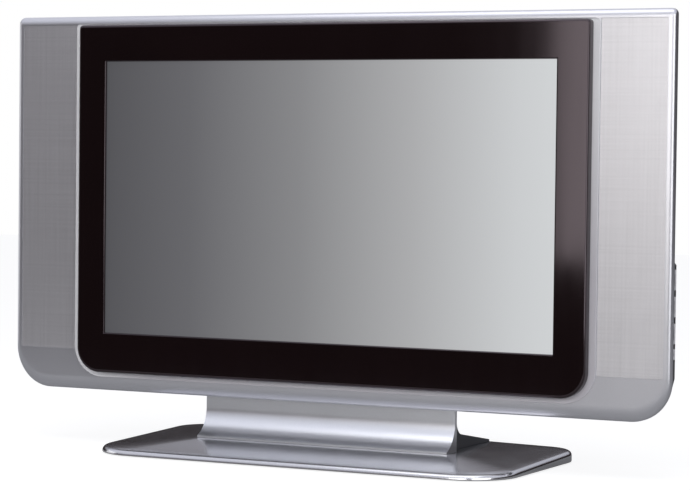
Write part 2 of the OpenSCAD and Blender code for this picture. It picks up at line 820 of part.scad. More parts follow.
// Signal board with its processor, heat sink and tin can
module main_board() {
    x0 = -x_pcb_out;
    x1 = -x_pcb_in;
    color(board)
        difference() {
            union() {
                block([x0, y_pcb, z_main], [x1, y_parts, z_main + main_h]);
                block([x0 + 60, y_parts - 0.2, z_main + 90], [x0 + 92, y_parts + 3, z_main + 122]);
                for (fin = [0 : 6])
                    block([x0 + 61 + fin * 5, y_parts + 2.8, z_main + 91],
                        [x0 + 62.5 + fin * 5, y_parts + 14, z_main + 121]);
                block([x0 + 120, y_parts - 0.2, z_main + 70], [x0 + 142, y_parts + 2, z_main + 92]);
                block([x0 + 116, y_parts - 0.2, z_main + 120], [x0 + 160, y_parts + 7, z_main + 128]);
                for (i = [0 : 3])
                    rod_y(x0 + 30 + i * 16, z_main + 150, y_parts - 0.2, y_parts + 11, 4);
            }
            for (p = board_fix)
                rod_y(p[0], p[1], y_pcb - over, y_parts + over, 1.6);
        }
}

// Aerial tuner in its tin can, with its downward socket
module tuner() {
    color(steel)
        difference() {
            union() {
                block([x_tuner - tuner_w / 2, y_parts, z_plate + plate_t + seam],
                    [x_tuner + tuner_w / 2, y_parts + tuner_d, z_main + 62]);
                rod_z(x_tuner, y_parts + tuner_d / 2, z_ledge - 6, z_plate + plate_t + over, 4.8);
            }
            rod_z(x_tuner, y_parts + tuner_d / 2, z_ledge - 7, z_ledge + 4, 1.9);
        }
}

// Block of one downward socket
module socket_block(x, w, d) {
    block([x - w / 2, y_parts, z_ledge], [x + w / 2, y_parts + d, z_ledge + socket_top]);
}

// Pair of SCART sockets
module scart_sockets() {
    color(black)
        for (x = [x_scart_1, x_scart_2])
            difference() {
                socket_block(x, scart_w, scart_d);
                translate([0, 0, z_ledge - over])
                    linear_extrude(8 + over)
                        polygon([[x - 21, y_parts + 2], [x + 17, y_parts + 2], [x + 21, y_parts + 6],
                            [x + 21, y_parts + 11], [x - 21, y_parts + 11]]);
                block([x - 19, y_parts + 4, z_ledge + 6], [x + 15, y_parts + 5.2, z_ledge + 18]);
                block([x - 19, y_parts + 8, z_ledge + 6], [x + 15, y_parts + 9.2, z_ledge + 18]);
            }
}

// Computer picture socket with its tapered shell and jack screws
module video_socket() {
    color(steel)
        difference() {
            union() {
                socket_block(x_video, video_w, video_d);
                translate([0, 0, z_ledge - 5])
                    linear_extrude(5 + over)
                        polygon([[x_video - 8.4, y_parts + 2.2], [x_video + 8.4, y_parts + 2.2],
                            [x_video + 7.2, y_parts + 9.8], [x_video - 7.2, y_parts + 9.8]]);
                for (side = [-1, 1])
                    rod_z(x_video + side * 11.2, y_parts + 6, z_ledge - 4, z_ledge + over, 2);
            }
            for (side = [-1, 1])
                rod_z(x_video + side * 11.2, y_parts + 6, z_ledge - 5, z_ledge + 3, 1.2);
            for (row = [-1, 0, 1])
                for (i = [-2 : 2])
                    rod_z(x_video + i * 2.3 + row * 0.4, y_parts + 6 + row * 2, z_ledge - 6, z_ledge - 1,
                        0.5);
        }
}

// Stack of phono sockets
module phono_sockets() {
    color(black)
        difference() {
            union() {
                socket_block(x_phono, phono_w, phono_d);
                for (i = [0 : 2])
                    rod_z(x_phono, y_parts + 7 + i * 12, z_ledge - 7, z_ledge + over, 4.2);
            }
            for (i = [0 : 2])
                rod_z(x_phono, y_parts + 7 + i * 12, z_ledge - 8, z_ledge + 6, 1.7);
        }
}

// Clearance hole of the terminal plate round one socket
module plate_hole(x, w, d) {
    block([x - w / 2 - plate_gap, y_parts - plate_gap, z_plate - over],
        [x + w / 2 + plate_gap, y_parts + d + plate_gap, z_plate + plate_t + over]);
}

// Tin plate that closes the ledge round the sockets
module terminal_plate() {
    color(steel)
        difference() {
            block([x_row_end - 2, y_skirt + 0.5, z_plate],
                [-x_pcb_in + 3, y_parts + phono_d + 4, z_plate + plate_t]);
            plate_hole(x_scart_1, scart_w, scart_d);
            plate_hole(x_scart_2, scart_w, scart_d);
            plate_hole(x_video, video_w, video_d);
            plate_hole(x_phono, phono_w, phono_d);
            rod_z(x_tuner, y_parts + tuner_d / 2, z_plate - over, z_plate + plate_t + over, 5.2);
        }
}

// Supply board with its transformer, reservoir capacitors, heat sinks and filter
module power_board() {
    x0 = x_pcb_in;
    color([0.55, 0.42, 0.2])
        difference() {
            union() {
                block([x0, y_pcb, z_power], [x_pcb_out, y_parts, z_power + power_h]);
                block([x0 + 60, y_parts - 0.2, z_power + 100], [x0 + 106, y_parts + 30, z_power + 142]);
                for (i = [0 : 2])
                    rod_y(x0 + 36 + i * 30, z_power + 62, y_parts - 0.2, y_parts + 28, 11);
                for (x = [x0 + 30, x0 + 130]) {
                    block([x, y_parts - 0.2, z_power + 92], [x + 3, y_parts + 26, z_power + 170]);
                    for (fin = [0 : 3])
                        block([x - 8, y_parts + 4 + fin * 6, z_power + 92],
                            [x + 11, y_parts + 5.5 + fin * 6, z_power + 170]);
                }
                block([x0 + 120, y_parts - 0.2, z_power + 24], [x0 + 156, y_parts + 20, z_power + 52]);
                for (i = [0 : 4])
                    rod_y(x0 + 40 + i * 22, z_power + 192, y_parts - 0.2, y_parts + 16, 6);
            }
            for (p = board_fix)
                rod_y(p[0], p[1], y_pcb - over, y_parts + over, 1.6);
        }
}

// Three pin mains inlet let into the ledge from below
module mains_inlet() {
    z_lip = z_ledge - 2.5;
    z_floor = z_ledge + 15;
    color(black) {
        difference() {
            union() {
                block([x_inlet - inlet_w / 2, y_inlet - inlet_d / 2, z_lip],
                    [x_inlet + inlet_w / 2, y_inlet + inlet_d / 2, z_ledge + 19]);
                block([x_inlet - inlet_w / 2 - 2.5, y_inlet - inlet_d / 2 - 2.5, z_lip],
                    [x_inlet + inlet_w / 2 + 2.5, y_inlet + inlet_d / 2 + 2.5, z_ledge - 0.2]);
            }
            translate([0, 0, z_lip - over])
                linear_extrude(z_floor - z_lip + over)
                    polygon([[x_inlet - 12, y_inlet + 8], [x_inlet + 12, y_inlet + 8],
                        [x_inlet + 12, y_inlet - 4],
                        [x_inlet + 8, y_inlet - 8], [x_inlet - 8, y_inlet - 8], [x_inlet - 12,
                            y_inlet - 4]]);
        }
        for (i = [-1, 0, 1])
            block([x_inlet + i * 7 - 1, y_inlet + (i == 0 ? -4 : 0) - 2, z_ledge + 5],
                [x_inlet + i * 7 + 1, y_inlet + (i == 0 ? -4 : 0) + 2, z_floor + over]);
    }
}

// Screws of the two large boards
module board_screws() {
    color(steel)
        for (p = board_fix)
            screw_y(p[0], p[1], y_parts, 7, 1.2, 2.8, 1.8);
}

// Small receiver board behind the surround's lower border
module ir_receiver() {
    x = -screen_w / 2 + 60;
    z = z_trim_low;
    color(board) {
        block([x - 13, y_rim - 4.6, z - 5.5], [x + 13, y_rim - 3, z + 5.5]);
        for (side = [-1, 1])
            rod_y(x + side * 9, z, y_rim - 3.2, y_rim, 2);
        block([x - 3.5, y_rim - 6.4, z - 4], [x + 3.5, y_rim - 4.4, z + 4]);
        rod_y(x, z, y_rim - 7.6, y_rim - 6.2, 2.4);
    }
}

// Closed box behind one grille, with a rebated hole for the speaker
module speaker_box(side) {
    cx = side * x_driver;
    half = (x_box_out - x_box_in) / 2;
    color(dark)
        difference() {
            block([cx - half, y_box, z_box], [cx + half, y_box_back, z_box_top]);
            block([cx - half + box_t, y_box + baffle_t, z_box + box_t],
                [cx + half - box_t, y_box_back - box_t, z_box_top - box_t]);
            rod_y(cx, z_driver, y_box - over, y_box + rebate, frame_r + 0.3);
            rod_y(cx, z_driver, y_box - over, y_box + baffle_t + over, frame_r - 3.2);
            for (a = [45 : 90 : 315])
                rod_y(cx + (frame_r - 1.9) * cos(a), z_driver + (frame_r - 1.9) * sin(a), y_box,
                    y_box + baffle_t - 0.6, 0.75);
        }
}

module speaker_box_left() {
    speaker_box(-1);
}

module speaker_box_right() {
    speaker_box(1);
}

// Pressed frame and magnet of one speaker, turned about the cone's axis
module driver(side) {
    y_end = y_magnet_back;
    color(dark)
        translate([side * x_driver, 0, z_driver])
            difference() {
                rotate([-90, 0, 0])
                    rotate_extrude()
                        polygon([[frame_r - 3.8, y_frame], [frame_r, y_frame],
                            [frame_r, y_frame + frame_t],
                            [frame_r - 3.4, y_frame + frame_t], [frame_r - 3.4, y_frame + frame_t + 1.4],
                            [magnet_r + 1, y_end - magnet_t], [magnet_r, y_end], [0, y_end],
                            [0, y_end - magnet_t - 0.6], [magnet_r - 1.2, y_end - magnet_t - 0.6],
                            [frame_r - 6, y_frame + frame_t + 1.6],
                            [frame_r - 6, y_frame + frame_t + 0.3],
                            [frame_r - 3.8, y_frame + frame_t + 0.3]]);
                for (a = [45 : 90 : 315])
                    rod_y((frame_r - 1.9) * cos(a), (frame_r - 1.9) * sin(a), y_frame - over,
                        y_frame + frame_t + over, 0.9);
            }
}

module driver_left() {
    driver(-1);
}

module driver_right() {
    driver(1);
}

// Half round roll between the frame and the cone
module cone_roll(side) {
    r_mid = cone_r + 2.3;
    color(black)
        translate([side * x_driver, 0, z_driver])
            rotate([-90, 0, 0])
                rotate_extrude()
                    translate([r_mid, y_frame + 1.6])
                        difference() {
                            circle(1.8);
                            circle(1.2);
                            translate([-3, 0.4])
                                square([6, 3]);
                        }
}

module cone_roll_left() {
    cone_roll(-1);
}

module cone_roll_right() {
    cone_roll(1);
}

// Paper cone with its dust cap
module cone(side) {
    y_rim_edge = y_frame + 1;
    y_deep = y_rim_edge + cone_depth;
    color(black)
        translate([side * x_driver, 0, z_driver])
            rotate([-90, 0, 0])
                rotate_extrude()
                    polygon([[cone_r + 0.2, y_rim_edge], [cap_r + 1, y_deep - 1],
                        [cap_r - 1, y_deep - 2.6],
                        [cap_r - 4, y_deep - 4], [0, y_deep - 4.6], [0, y_deep - 3.6],
                        [cap_r - 4.4, y_deep - 3],
                        [cap_r - 2, y_deep - 1.8], [cap_r, y_deep + 0.4], [cap_r, y_deep + 3],
                        [cap_r + 1, y_deep + 3],
                        [cap_r + 1, y_deep + 0.6], [cone_r + 0.2, y_rim_edge + 1]]);
}

module cone_left() {
    cone(-1);
}

module cone_right() {
    cone(1);
}

// Small screws that hold the speakers to their boxes
module speaker_screws() {
    color(steel)
        for (side = [-1, 1])
            for (a = [45 : 90 : 315]) {
                x = side * x_driver + (frame_r - 1.9) * cos(a);
                z = z_driver + (frame_r - 1.9) * sin(a);
                rod_y(x, z, y_frame, y_frame + frame_t + 1.8, 0.7);
                rod_y(x, z, y_frame - 0.1, y_frame, 1.4);
            }
}

// Dark key housing on the side of the rear cover, with a slot for each key and a bore for each axle
module control_pod() {
    z0 = z_pod;
    z1 = z_pod + pod_h;
    color(dark)
        difference() {
            union() {
                intersection() {
                    along_y(y_pod - pod_half, y_pod + pod_half)
                        polygon([[x_cover + 0.2, z0], [x_cover + 0.2, z1], [x_pod, z1 - pod_end],
                            [x_pod, z0 + 3 * pod_end]]);
                    linear_extrude(z_top)
                        polygon([[x_cover + 0.2, y_pod - pod_half], [x_pod, y_pod - pod_half + 1.6],
                            [x_pod, y_pod + pod_half - 1.6], [x_cover + 0.2, y_pod + pod_half]]);
                }
                block([x_key_pcb, y_pod - pod_body, z0 + pod_end],
                    [x_cover + 0.5, y_pod + pod_body, z1 - pod_end]);
            }
            block([x_key_pcb - over, y_pod - pod_inner, z0 + pod_end + pod_wall],
                [x_pod - pod_t, y_pod + pod_inner, z1 - pod_end - pod_wall]);
            for (z = [z_key_1, z_key_2, z_key_3])
                key_slot(z, key_len);
            key_slot(z_key_4, power_len);
            for (z = [z_key_1, z_key_2, z_key_3])
                rod_y(x_axle, z, y_pod - pod_body + 0.3, y_pod + pod_body - 0.3, axle_r + 0.05, $fn = 48);
        }
}

// Slot of one key through the housing's face
module key_slot(z, length) {
    block([x_pod - pod_t - over, y_pod - key_half - key_gap / 2, z - length / 2 - key_gap],
        [x_pod + over, y_pod + key_half + key_gap / 2, z + length / 2 + key_gap]);
}

// Rocker key with its retaining flange, axle and two switch stems
module rocker(z) {
    x_back = x_pod - 4.5;
    color(silver) {
        block([x_back, y_pod - key_half, z - key_len / 2],
            [x_pod + key_proud - 0.5, y_pod + key_half, z + key_len / 2]);
        block([x_pod, y_pod - key_half + 0.5, z - key_len / 2 + 0.5],
            [x_pod + key_proud, y_pod + key_half - 0.5, z + key_len / 2 - 0.5]);
        block([x_back, y_pod - key_half - 1, z - key_len / 2 - 1.6],
            [x_back + key_flange, y_pod + key_half + 1, z + key_len / 2 + 1.6]);
        block([x_axle - 1.8, y_pod - key_half, z - 2.2], [x_back + over, y_pod + key_half, z + 2.2]);
        rod_y(x_axle, z, y_pod - pod_body + 0.7, y_pod + pod_body - 0.7, axle_r, $fn = 48);
        for (side = [-1, 1])
            translate([x_plunger + 0.8, y_pod, z + side * nub_z])
                rotate([0, 90, 0])
                    cylinder(r = 1.4, h = x_back - x_plunger);
    }
}

module key_programme() {
    rocker(z_key_1);
}

module key_volume() {
    rocker(z_key_2);
}

module key_menu() {
    rocker(z_key_3);
}

// Power push key with its retaining flange and switch stem
module key_power() {
    x_flange = x_pod - pod_t - seam;
    z = z_key_4;
    color(silver) {
        block([x_flange - key_flange, y_pod - key_half, z - power_len / 2],
            [x_pod + key_proud - 0.5, y_pod + key_half, z + power_len / 2]);
        block([x_pod, y_pod - key_half + 0.5, z - power_len / 2 + 0.5],
            [x_pod + key_proud, y_pod + key_half - 0.5, z + power_len / 2 - 0.5]);
        block([x_flange - key_flange, y_pod - key_half - 1, z - power_len / 2 - 1.2],
            [x_flange, y_pod + key_half + 1, z + power_len / 2 + 1.2]);
        translate([x_plunger + power_travel + seam, y_pod, z])
            rotate([0, 90, 0])
                cylinder(r = 1.4, h = x_flange - x_plunger - power_travel - seam - 0.5);
    }
}

// Board with the key switches
module key_board() {
    stems = [z_key_1 - nub_z, z_key_1 + nub_z, z_key_2 - nub_z, z_key_2 + nub_z, z_key_3 - nub_z,
        z_key_3 + nub_z, z_key_4];
    color(board) {
        block([x_key_pcb - pcb_t, y_pod - pod_body, z_pod + pod_end],
            [x_key_pcb, y_pod + pod_body, z_pod + pod_h - pod_end]);
        for (z = stems) {
            block([x_key_pcb - 0.2, y_pod - 3, z - 3], [x_key_pcb + switch_h, y_pod + 3, z + 3]);
            translate([x_key_pcb, y_pod, z])
                rotate([0, 90, 0])
                    cylinder(r = 1.6, h = switch_h + plunger_h);
        }
    }
}

// Plan of the base with its own radius at the front and the rear corners
module base_plan(inset) {
    w = base_w - 2 * inset;
    d = base_d - 2 * inset;
    translate([0, -d / 2])
        outline(w, d, base_rear_r - inset, base_front_r - inset, $fn = 48);
}

// One level of the rim, which rises to the rear
module rim_slice(up, inset) {
    translate([0, 0, (rim_front + rim_rear) / 2 + up])
        rotate([rim_tilt, 0, 0])
            linear_extrude(0.05)
                base_plan(inset);
}

// Flat under the neck and its rear foot, at one height
module neck_flat(z, inset) {
    translate([-neck_half - 6 + inset, y_foot - 2 + inset, z])
        cube([neck_w + 12 - 2 * inset, y_rear_foot - y_foot + 4 - 2 * inset, 0.05]);
}

// Low roof from the rounded rim up to the flat under the neck
module base_form() {
    hull() {
        translate([0, 0, foot_h])
            linear_extrude(0.05)
                base_plan(1.2);
        translate([0, 0, foot_h + 1.2])
            linear_extrude(0.05)
                base_plan(0);
        for (a = [0 : 22.5 : 67.5])
            rim_slice(round_r * (sin(a) - 1), round_r * (1 - cos(a)));
        neck_flat(plateau_h - 0.05, 0);
    }
}

// Hollow under the roof, inside a wall of even thickness
module base_hollow() {
    hull() {
        translate([0, 0, -over])
            linear_extrude(0.05)
                base_plan(base_t + 0.3);
        rim_slice(-base_t - 0.4, base_t + 0.3);
        neck_flat(plateau_h - base_t - 0.05, 3);
    }
}

// Hollow base shell with its screw posts and the bracket slot
module stand_base() {
    color(silver)
        difference() {
            base_form();
            difference() {
                base_hollow();
                for (p = base_fix)
                    rod_z(p[0], p[1], z_steel_top, plateau_h, 4);
            }
            for (p = base_fix)
                rod_z(p[0], p[1], z_steel_top - over, z_steel_top + 2.2, boss_bore_r);
            block([-bracket_half - 1.5, y_bracket - 1, z_steel_top],
                [bracket_half + 1.5, y_bracket + bracket_t + 1, plateau_h + over]);
        }
}

// Steel weight plate inside the base
module base_plate() {
    color(steel)
        difference() {
            translate([0, 0, z_steel])
                linear_extrude(steel_t)
                    base_plan(base_t + 0.6);
            for (p = base_fix)
                rod_z(p[0], p[1], z_steel - over, z_steel_top + over, 1.9);
            for (p = stand_fix)
                rod_z(p[0], p[1], z_steel - over, z_steel_top + over, 2.7);
        }
}

// Rubber feet under the weight plate
module rubber_feet() {
    color(black)
        for (p = feet)
            rod_z(p[0], p[1], 0, z_steel, 9);
}

// Screws that hold the weight plate in the base shell
module base_screws() {
    color(steel)
        for (p = base_fix)
            screw_z(p[0], p[1], z_steel, steel_t + 1.8, screw_r, 3.4, 1.6);
}

// Side view of the neck's front cover, from its front curve back to a plane
module neck_front_side(y_back_plane) {
    difference() {
        translate([y_foot, z_neck])
            square([y_back_plane - y_foot, z_neck_top - z_neck]);
        translate([y_neck - neck_curve, z_neck + neck_curve])
            circle(neck_curve, $fn = 96);
        translate([y_foot - over, z_neck + neck_curve])
            square([y_neck - y_foot + over, z_neck_top - z_neck]);
    }
}

// Thin wall that follows the front curve
module neck_front_skin() {
    difference() {
        neck_front_side(y_neck + neck_t);
        translate([y_neck - neck_curve, z_neck + neck_curve])
            difference() {
                translate([0, -neck_curve - over])
                    square([2 * neck_curve, neck_curve + over]);
                circle(neck_curve + neck_t, $fn = 96);
            }
    }
}

// Silver front of the neck, with a hollow curve out onto the base
module neck_front() {
    color(silver)
        difference() {
            union() {
                along_x(-neck_half, neck_half)
                    neck_front_skin();
                for (side = [-1, 1])
                    along_x(side > 0 ? neck_half - neck_t : -neck_half,
                        side > 0 ? neck_half : -neck_half + neck_t)
                        neck_front_side(y_neck + neck_depth);
                for (p = neck_fix)
                    rod_y(p[0], p[1], y_neck + 1, y_rear - rear_t - seam, 4);
            }
            for (p = neck_fix)
                rod_y(p[0], p[1], y_rear - 16, y_rear + 40, boss_bore_r);
        }
}

// Side view under the neck's rear line, drawn in by an inset: upright, hollow curve, falling foot
module neck_rear_side(y_front_plane, z_low, inset) {
    y_up = y_rear - inset;
    y_turn = y_rear + rear_curve;
    z_turn = rear_foot_h - rear_curve * tan(rear_fall) + rear_curve / cos(rear_fall);
    reach = rear_curve + inset;
    y_end = y_rear_foot - inset;
    z_end = rear_foot_h - inset / cos(rear_fall) - (y_end - y_rear) * tan(rear_fall);
    difference() {
        polygon([[y_front_plane, z_low], [y_end, z_low], [y_end, z_end],
            [y_turn - reach * sin(rear_fall), z_turn - reach * cos(rear_fall)], [y_turn, z_turn],
            [y_up, z_turn], [y_up, z_neck_top], [y_front_plane, z_neck_top]]);
        translate([y_turn, z_turn])
            circle(reach, $fn = 96);
    }
}

// Dark rear of the neck, a thin wall with a long foot back over the base
module neck_rear() {
    y_open = y_rear - rear_t - over;
    color(dark)
        difference() {
            union() {
                along_x(-rear_half, rear_half)
                    difference() {
                        neck_rear_side(y_rear - rear_t, z_neck, 0);
                        neck_rear_side(y_open, z_neck - over, rear_t);
                    }
                for (side = [-1, 1])
                    along_x(side > 0 ? rear_half - rear_t : -rear_half,
                        side > 0 ? rear_half : -rear_half + rear_t)
                        neck_rear_side(y_neck + neck_depth + seam, z_neck, 0);
            }
            for (p = neck_fix)
                rod_y(p[0], p[1], y_open, y_rear + over, 1.8);
        }
}

// Screws that join the two halves of the neck
module neck_screws() {
    color(steel)
        for (p = neck_fix)
            screw_y(p[0], p[1], y_rear, 12, screw_r, 3, 2);
}

// Folded steel bracket from the weight plate up to the chassis
module neck_bracket() {
    color(steel)
        difference() {
            union() {
                block([-bracket_half, y_bracket, z_steel_top],
                    [bracket_half, y_bracket + bracket_t, z_bracket_top]);
                block([-bracket_half, y_flange, z_steel_top],
                    [bracket_half, y_bracket + 0.5, z_steel_top + flange_t]);
            }
            for (p = bracket_fix)
                rod_y(p[0], p[1], y_bracket - over, y_bracket + bracket_t + over, 2.75);
            for (p = stand_fix)
                rod_z(p[0], p[1], z_steel_top - over, z_steel_top + flange_t + over, 2.45);
        }
}

// Screws up through the weight plate into the bracket
module stand_screws() {
    color(steel)
        for (p = stand_fix)
            screw_z(p[0], p[1], z_steel, steel_t + flange_t, 2.35, 4.2, 2);
}

// Screws through the bracket into the chassis plate
module bracket_screws() {
    color(steel)
        for (p = bracket_fix)
            screw_y(p[0], p[1], y_bracket + bracket_t, bracket_t + chassis_t + 2, 2.45, 4.2, 2.4);
}

front_cabinet();
screen_surround();
surround_screws();
grille_left();
grille_right();
rear_cover();
rear_cover_screws();
lcd_frame();
lcd_glass();
lcd_mid_frame();
optical_sheets();
backlight_tray();
lamp_holders();
backlight_lamps();
inverter_board();
timing_board();
chassis_plate();
chassis_screws();
main_board();
tuner();
scart_sockets();
video_socket();
phono_sockets();
terminal_plate();
power_board();
mains_inlet();
board_screws();
ir_receiver();
speaker_box_left();
speaker_box_right();
driver_left();
driver_right();
cone_roll_left();
cone_roll_right();
cone_left();
cone_right();
speaker_screws();
control_pod();
key_programme();
key_volume();
key_menu();
key_power();
key_board();
stand_base();
base_plate();
rubber_feet();
base_screws();
neck_front();
neck_rear();
neck_bracket();
stand_screws();
bracket_screws();
neck_screws();
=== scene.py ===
"""Looks of a widescreen LCD television on its table stand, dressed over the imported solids.

Sizes in the classes are in millimetres, in the frame of the solids: X along the screen, +Y to the back,
Z up from the table. Meshes are scaled to metres when they are made; finishes and the studio are in metres.
"""
import logging
from dataclasses import dataclass, field
from enum import Enum
from typing import Any, Callable, Sequence

import bmesh
import bpy
import numpy as np
from mathutils import Matrix, Vector
from mathutils.geometry import delaunay_2d_cdt


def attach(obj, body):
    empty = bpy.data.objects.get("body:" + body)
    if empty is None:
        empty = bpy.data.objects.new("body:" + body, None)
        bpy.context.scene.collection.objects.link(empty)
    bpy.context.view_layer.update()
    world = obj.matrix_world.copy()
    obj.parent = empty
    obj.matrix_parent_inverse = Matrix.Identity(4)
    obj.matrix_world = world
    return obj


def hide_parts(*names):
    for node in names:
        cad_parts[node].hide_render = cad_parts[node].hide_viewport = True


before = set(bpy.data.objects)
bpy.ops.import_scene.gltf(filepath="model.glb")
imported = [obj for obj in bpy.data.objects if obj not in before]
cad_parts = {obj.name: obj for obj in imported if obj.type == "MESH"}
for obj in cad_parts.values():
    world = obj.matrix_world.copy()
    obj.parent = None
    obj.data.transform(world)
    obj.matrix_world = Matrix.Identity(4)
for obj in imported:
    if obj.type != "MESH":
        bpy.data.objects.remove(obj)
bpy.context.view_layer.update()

MM = 0.001
LOG = logging.getLogger("television")
Colour = tuple[float, float, float]
Point = tuple[float, float, float]
Pair = tuple[float, float]
Box = tuple[float, float, float, float]

SURROUND_BOX: Box = (-326.3, 326.3, 87.4, 502.7)
SURROUND_CORNERS: Pair = (30.0, 4.5)


class Side(Enum):
    """Side of the set, as seen from the front."""

    LEFT = -1
    RIGHT = 1

    def of(self, box: Box) -> Box:
        """A box of the right side, carried over to this side.

        Args:
            box: The box on the right side, X first.
        Returns:
            The box on this side.
        """
        x0, x1, z0, z1 = box
        a0, a1 = sorted((self.value * x0, self.value * x1))
        return (a0, a1, z0, z1)


class Axis(Enum):
    """Axis of the frame, by its place in a point."""

    X = 0
    Y = 1
    Z = 2

    @property
    def others(self) -> list[int]:
        """Places of the other two axes."""
        return [place for place in range(3) if place != self.value]


# Shader tools


def shader_operator(operation: str, swapped: bool = False) -> Callable[["Signal", Any], "Signal"]:
    """Makes the method of a Math operation with two inputs.

    Args:
        operation: Name of the Math node's operation.
        swapped: Whether the other value comes first.
    Returns:
        A method that takes the other value, a number or a signal.
    """
    def apply(self: "Signal", other: Any) -> "Signal":
        """Adds the operation's node."""
        return self.math(operation, *((other, self) if swapped else (self, other)))

    return apply


class Signal:
    """A shader value that takes part in Python arithmetic; each operator adds one Math node."""

    def __init__(self, paint: "Paint", socket: bpy.types.NodeSocket) -> None:
        """Holds a socket of a paint's node tree."""
        self.paint = paint
        self.socket = socket

    def math(self, operation: str, *values: Any) -> "Signal":
        """Adds one Math node.

        Args:
            operation: Name of the Math node's operation.
            values: Its inputs in order, numbers or signals.
        Returns:
            The node's result.
        """
        node = self.paint.node("ShaderNodeMath", {"operation": operation}, dict(enumerate(values)))
        return Signal(self.paint, node.outputs[0])

    __add__ = shader_operator("ADD")
    __radd__ = shader_operator("ADD", True)
    __sub__ = shader_operator("SUBTRACT")
    __rsub__ = shader_operator("SUBTRACT", True)
    __mul__ = shader_operator("MULTIPLY")
    __rmul__ = shader_operator("MULTIPLY", True)
    __truediv__ = shader_operator("DIVIDE")
    __rtruediv__ = shader_operator("DIVIDE", True)
    __gt__ = shader_operator("GREATER_THAN")
    most = shader_operator("MAXIMUM")
    least = shader_operator("MINIMUM")

    def wave(self) -> "Signal":
        """Sine of the signal."""
        return self.math("SINE", self)

    def size(self) -> "Signal":
        """Absolute value."""
        return self.math("ABSOLUTE", self)

    def clip(self) -> "Signal":
        """Kept between zero and one."""
        return self.most(0.0).least(1.0)

    def rise(self, start: float, width: float) -> "Signal":
        """Zero up to a start, then straight up to one over a width; a negative width goes the other way."""
        return ((self - start) / width).clip()


class Paint:
    """One node tree and the calls that fill it."""

    def __init__(self, tree: bpy.types.NodeTree) -> None:
        """Empties the tree."""
        self.tree = tree
        tree.nodes.clear()

    def node(self, kind: str, settings: dict[str, Any], inputs: dict[Any, Any]) -> bpy.types.Node:
        """Makes any node.

        Args:
            kind: Type name of the node.
            settings: Attributes set first; "stops" gives a ramp's places and colours.
            inputs: Values or links by socket name or number.
        Returns:
            The node.
        """
        node = self.tree.nodes.new(kind)
        for key, value in settings.items():
            if key == "stops":
                ramp = node.color_ramp
                while len(ramp.elements) < len(value):
                    ramp.elements.new(1.0)
                for element, (place, colour) in zip(ramp.elements, value):
                    element.position = place
                    element.color = (*colour, 1.0)
            else:
                setattr(node, key, value)
        for key, value in inputs.items():
            socket = node.inputs[key]
            if isinstance(value, Signal):
                self.tree.links.new(value.socket, socket)
            elif isinstance(value, bpy.types.NodeSocket):
                self.tree.links.new(value, socket)
            elif isinstance(value, tuple) and len(value) == 3 and socket.type == "RGBA":
                socket.default_value = (*value, 1.0)
            else:
                socket.default_value = value
        return node

    def place(self) -> bpy.types.NodeSocket:
        """Object coordinates, in metres in the frame of the solids."""
        return self.node("ShaderNodeTexCoord", {}, {}).outputs["Object"]

    def split(self, vector: bpy.types.NodeSocket, axis: Axis) -> Signal:
        """One part of a vector or a colour."""
        return Signal(self, self.node("ShaderNodeSeparateXYZ", {}, {0: vector}).outputs[axis.value])

    def along(self, axis: Axis) -> Signal:
        """One coordinate of the place, in metres."""
        return self.split(self.place(), axis)

    def noise(self, scale: float, detail: float = 3.0, stretch: Point = (1, 1, 1)) -> Signal:
        """Smooth noise from 0 to 1 with cells of 1/scale metres, longer along axes of small stretch.

        Args:
            scale: Cells in a metre.
            detail: Finer layers that are added.
            stretch: Scale of each axis.
        Returns:
            The noise.
        """
        mapped = self.node("ShaderNodeMapping", {}, {"Vector": self.place(), "Scale": stretch}).outputs[0]
        node = self.node("ShaderNodeTexNoise", {}, {"Vector": mapped, "Scale": scale, "Detail": detail})
        return Signal(self, node.outputs[0])

    def cells(self, scale: float, feature: str = "F1") -> Signal:
        """Distance field of scattered cells of 1/scale metres.

        Args:
            scale: Cells in a metre.
            feature: The Voronoi node's feature.
        Returns:
            The distance to the nearest cell's point.
        """
        inputs = {"Vector": self.place(), "Scale": scale}
        node = self.node("ShaderNodeTexVoronoi", {"feature": feature}, inputs)
        return Signal(self, node.outputs["Distance"])

    def flakes(self, scale: float) -> Signal:
        """One random value from 0 to 1 for each cell of 1/scale metres."""
        node = self.node("ShaderNodeTexVoronoi", {}, {"Vector": self.place(), "Scale": scale})
        return self.split(node.outputs["Color"], Axis.X)

    def blend(self, low: Any, high: Any, factor: Any) -> bpy.types.NodeSocket:
        """Colour between two colours."""
        node = self.node("ShaderNodeMix", {"data_type": "RGBA"}, {0: factor, 6: low, 7: high})
        return node.outputs[2]

    def relief(self, height: Signal, strength: float, depth: float) -> bpy.types.NodeSocket:
        """Bumped normal of a height signal, its full height in metres."""
        inputs = {"Height": height, "Strength": strength, "Distance": depth}
        return self.node("ShaderNodeBump", {}, inputs).outputs[0]

    def ray(self, kind: str) -> Signal:
        """One for the rays of a kind, by the name of the Light Path node's output, else zero."""
        return Signal(self, self.node("ShaderNodeLightPath", {}, {}).outputs[kind])

    def eye(self) -> Signal:
        """One for what the camera sees, straight or through glass, else zero."""
        return self.ray("Is Camera Ray").most(self.ray("Is Transmission Ray"))


def tone(colour: Colour, factor: float) -> Colour:
    """A colour made lighter or darker by a factor."""
    return tuple(min(1.0, part * factor) for part in colour)


# Finishes


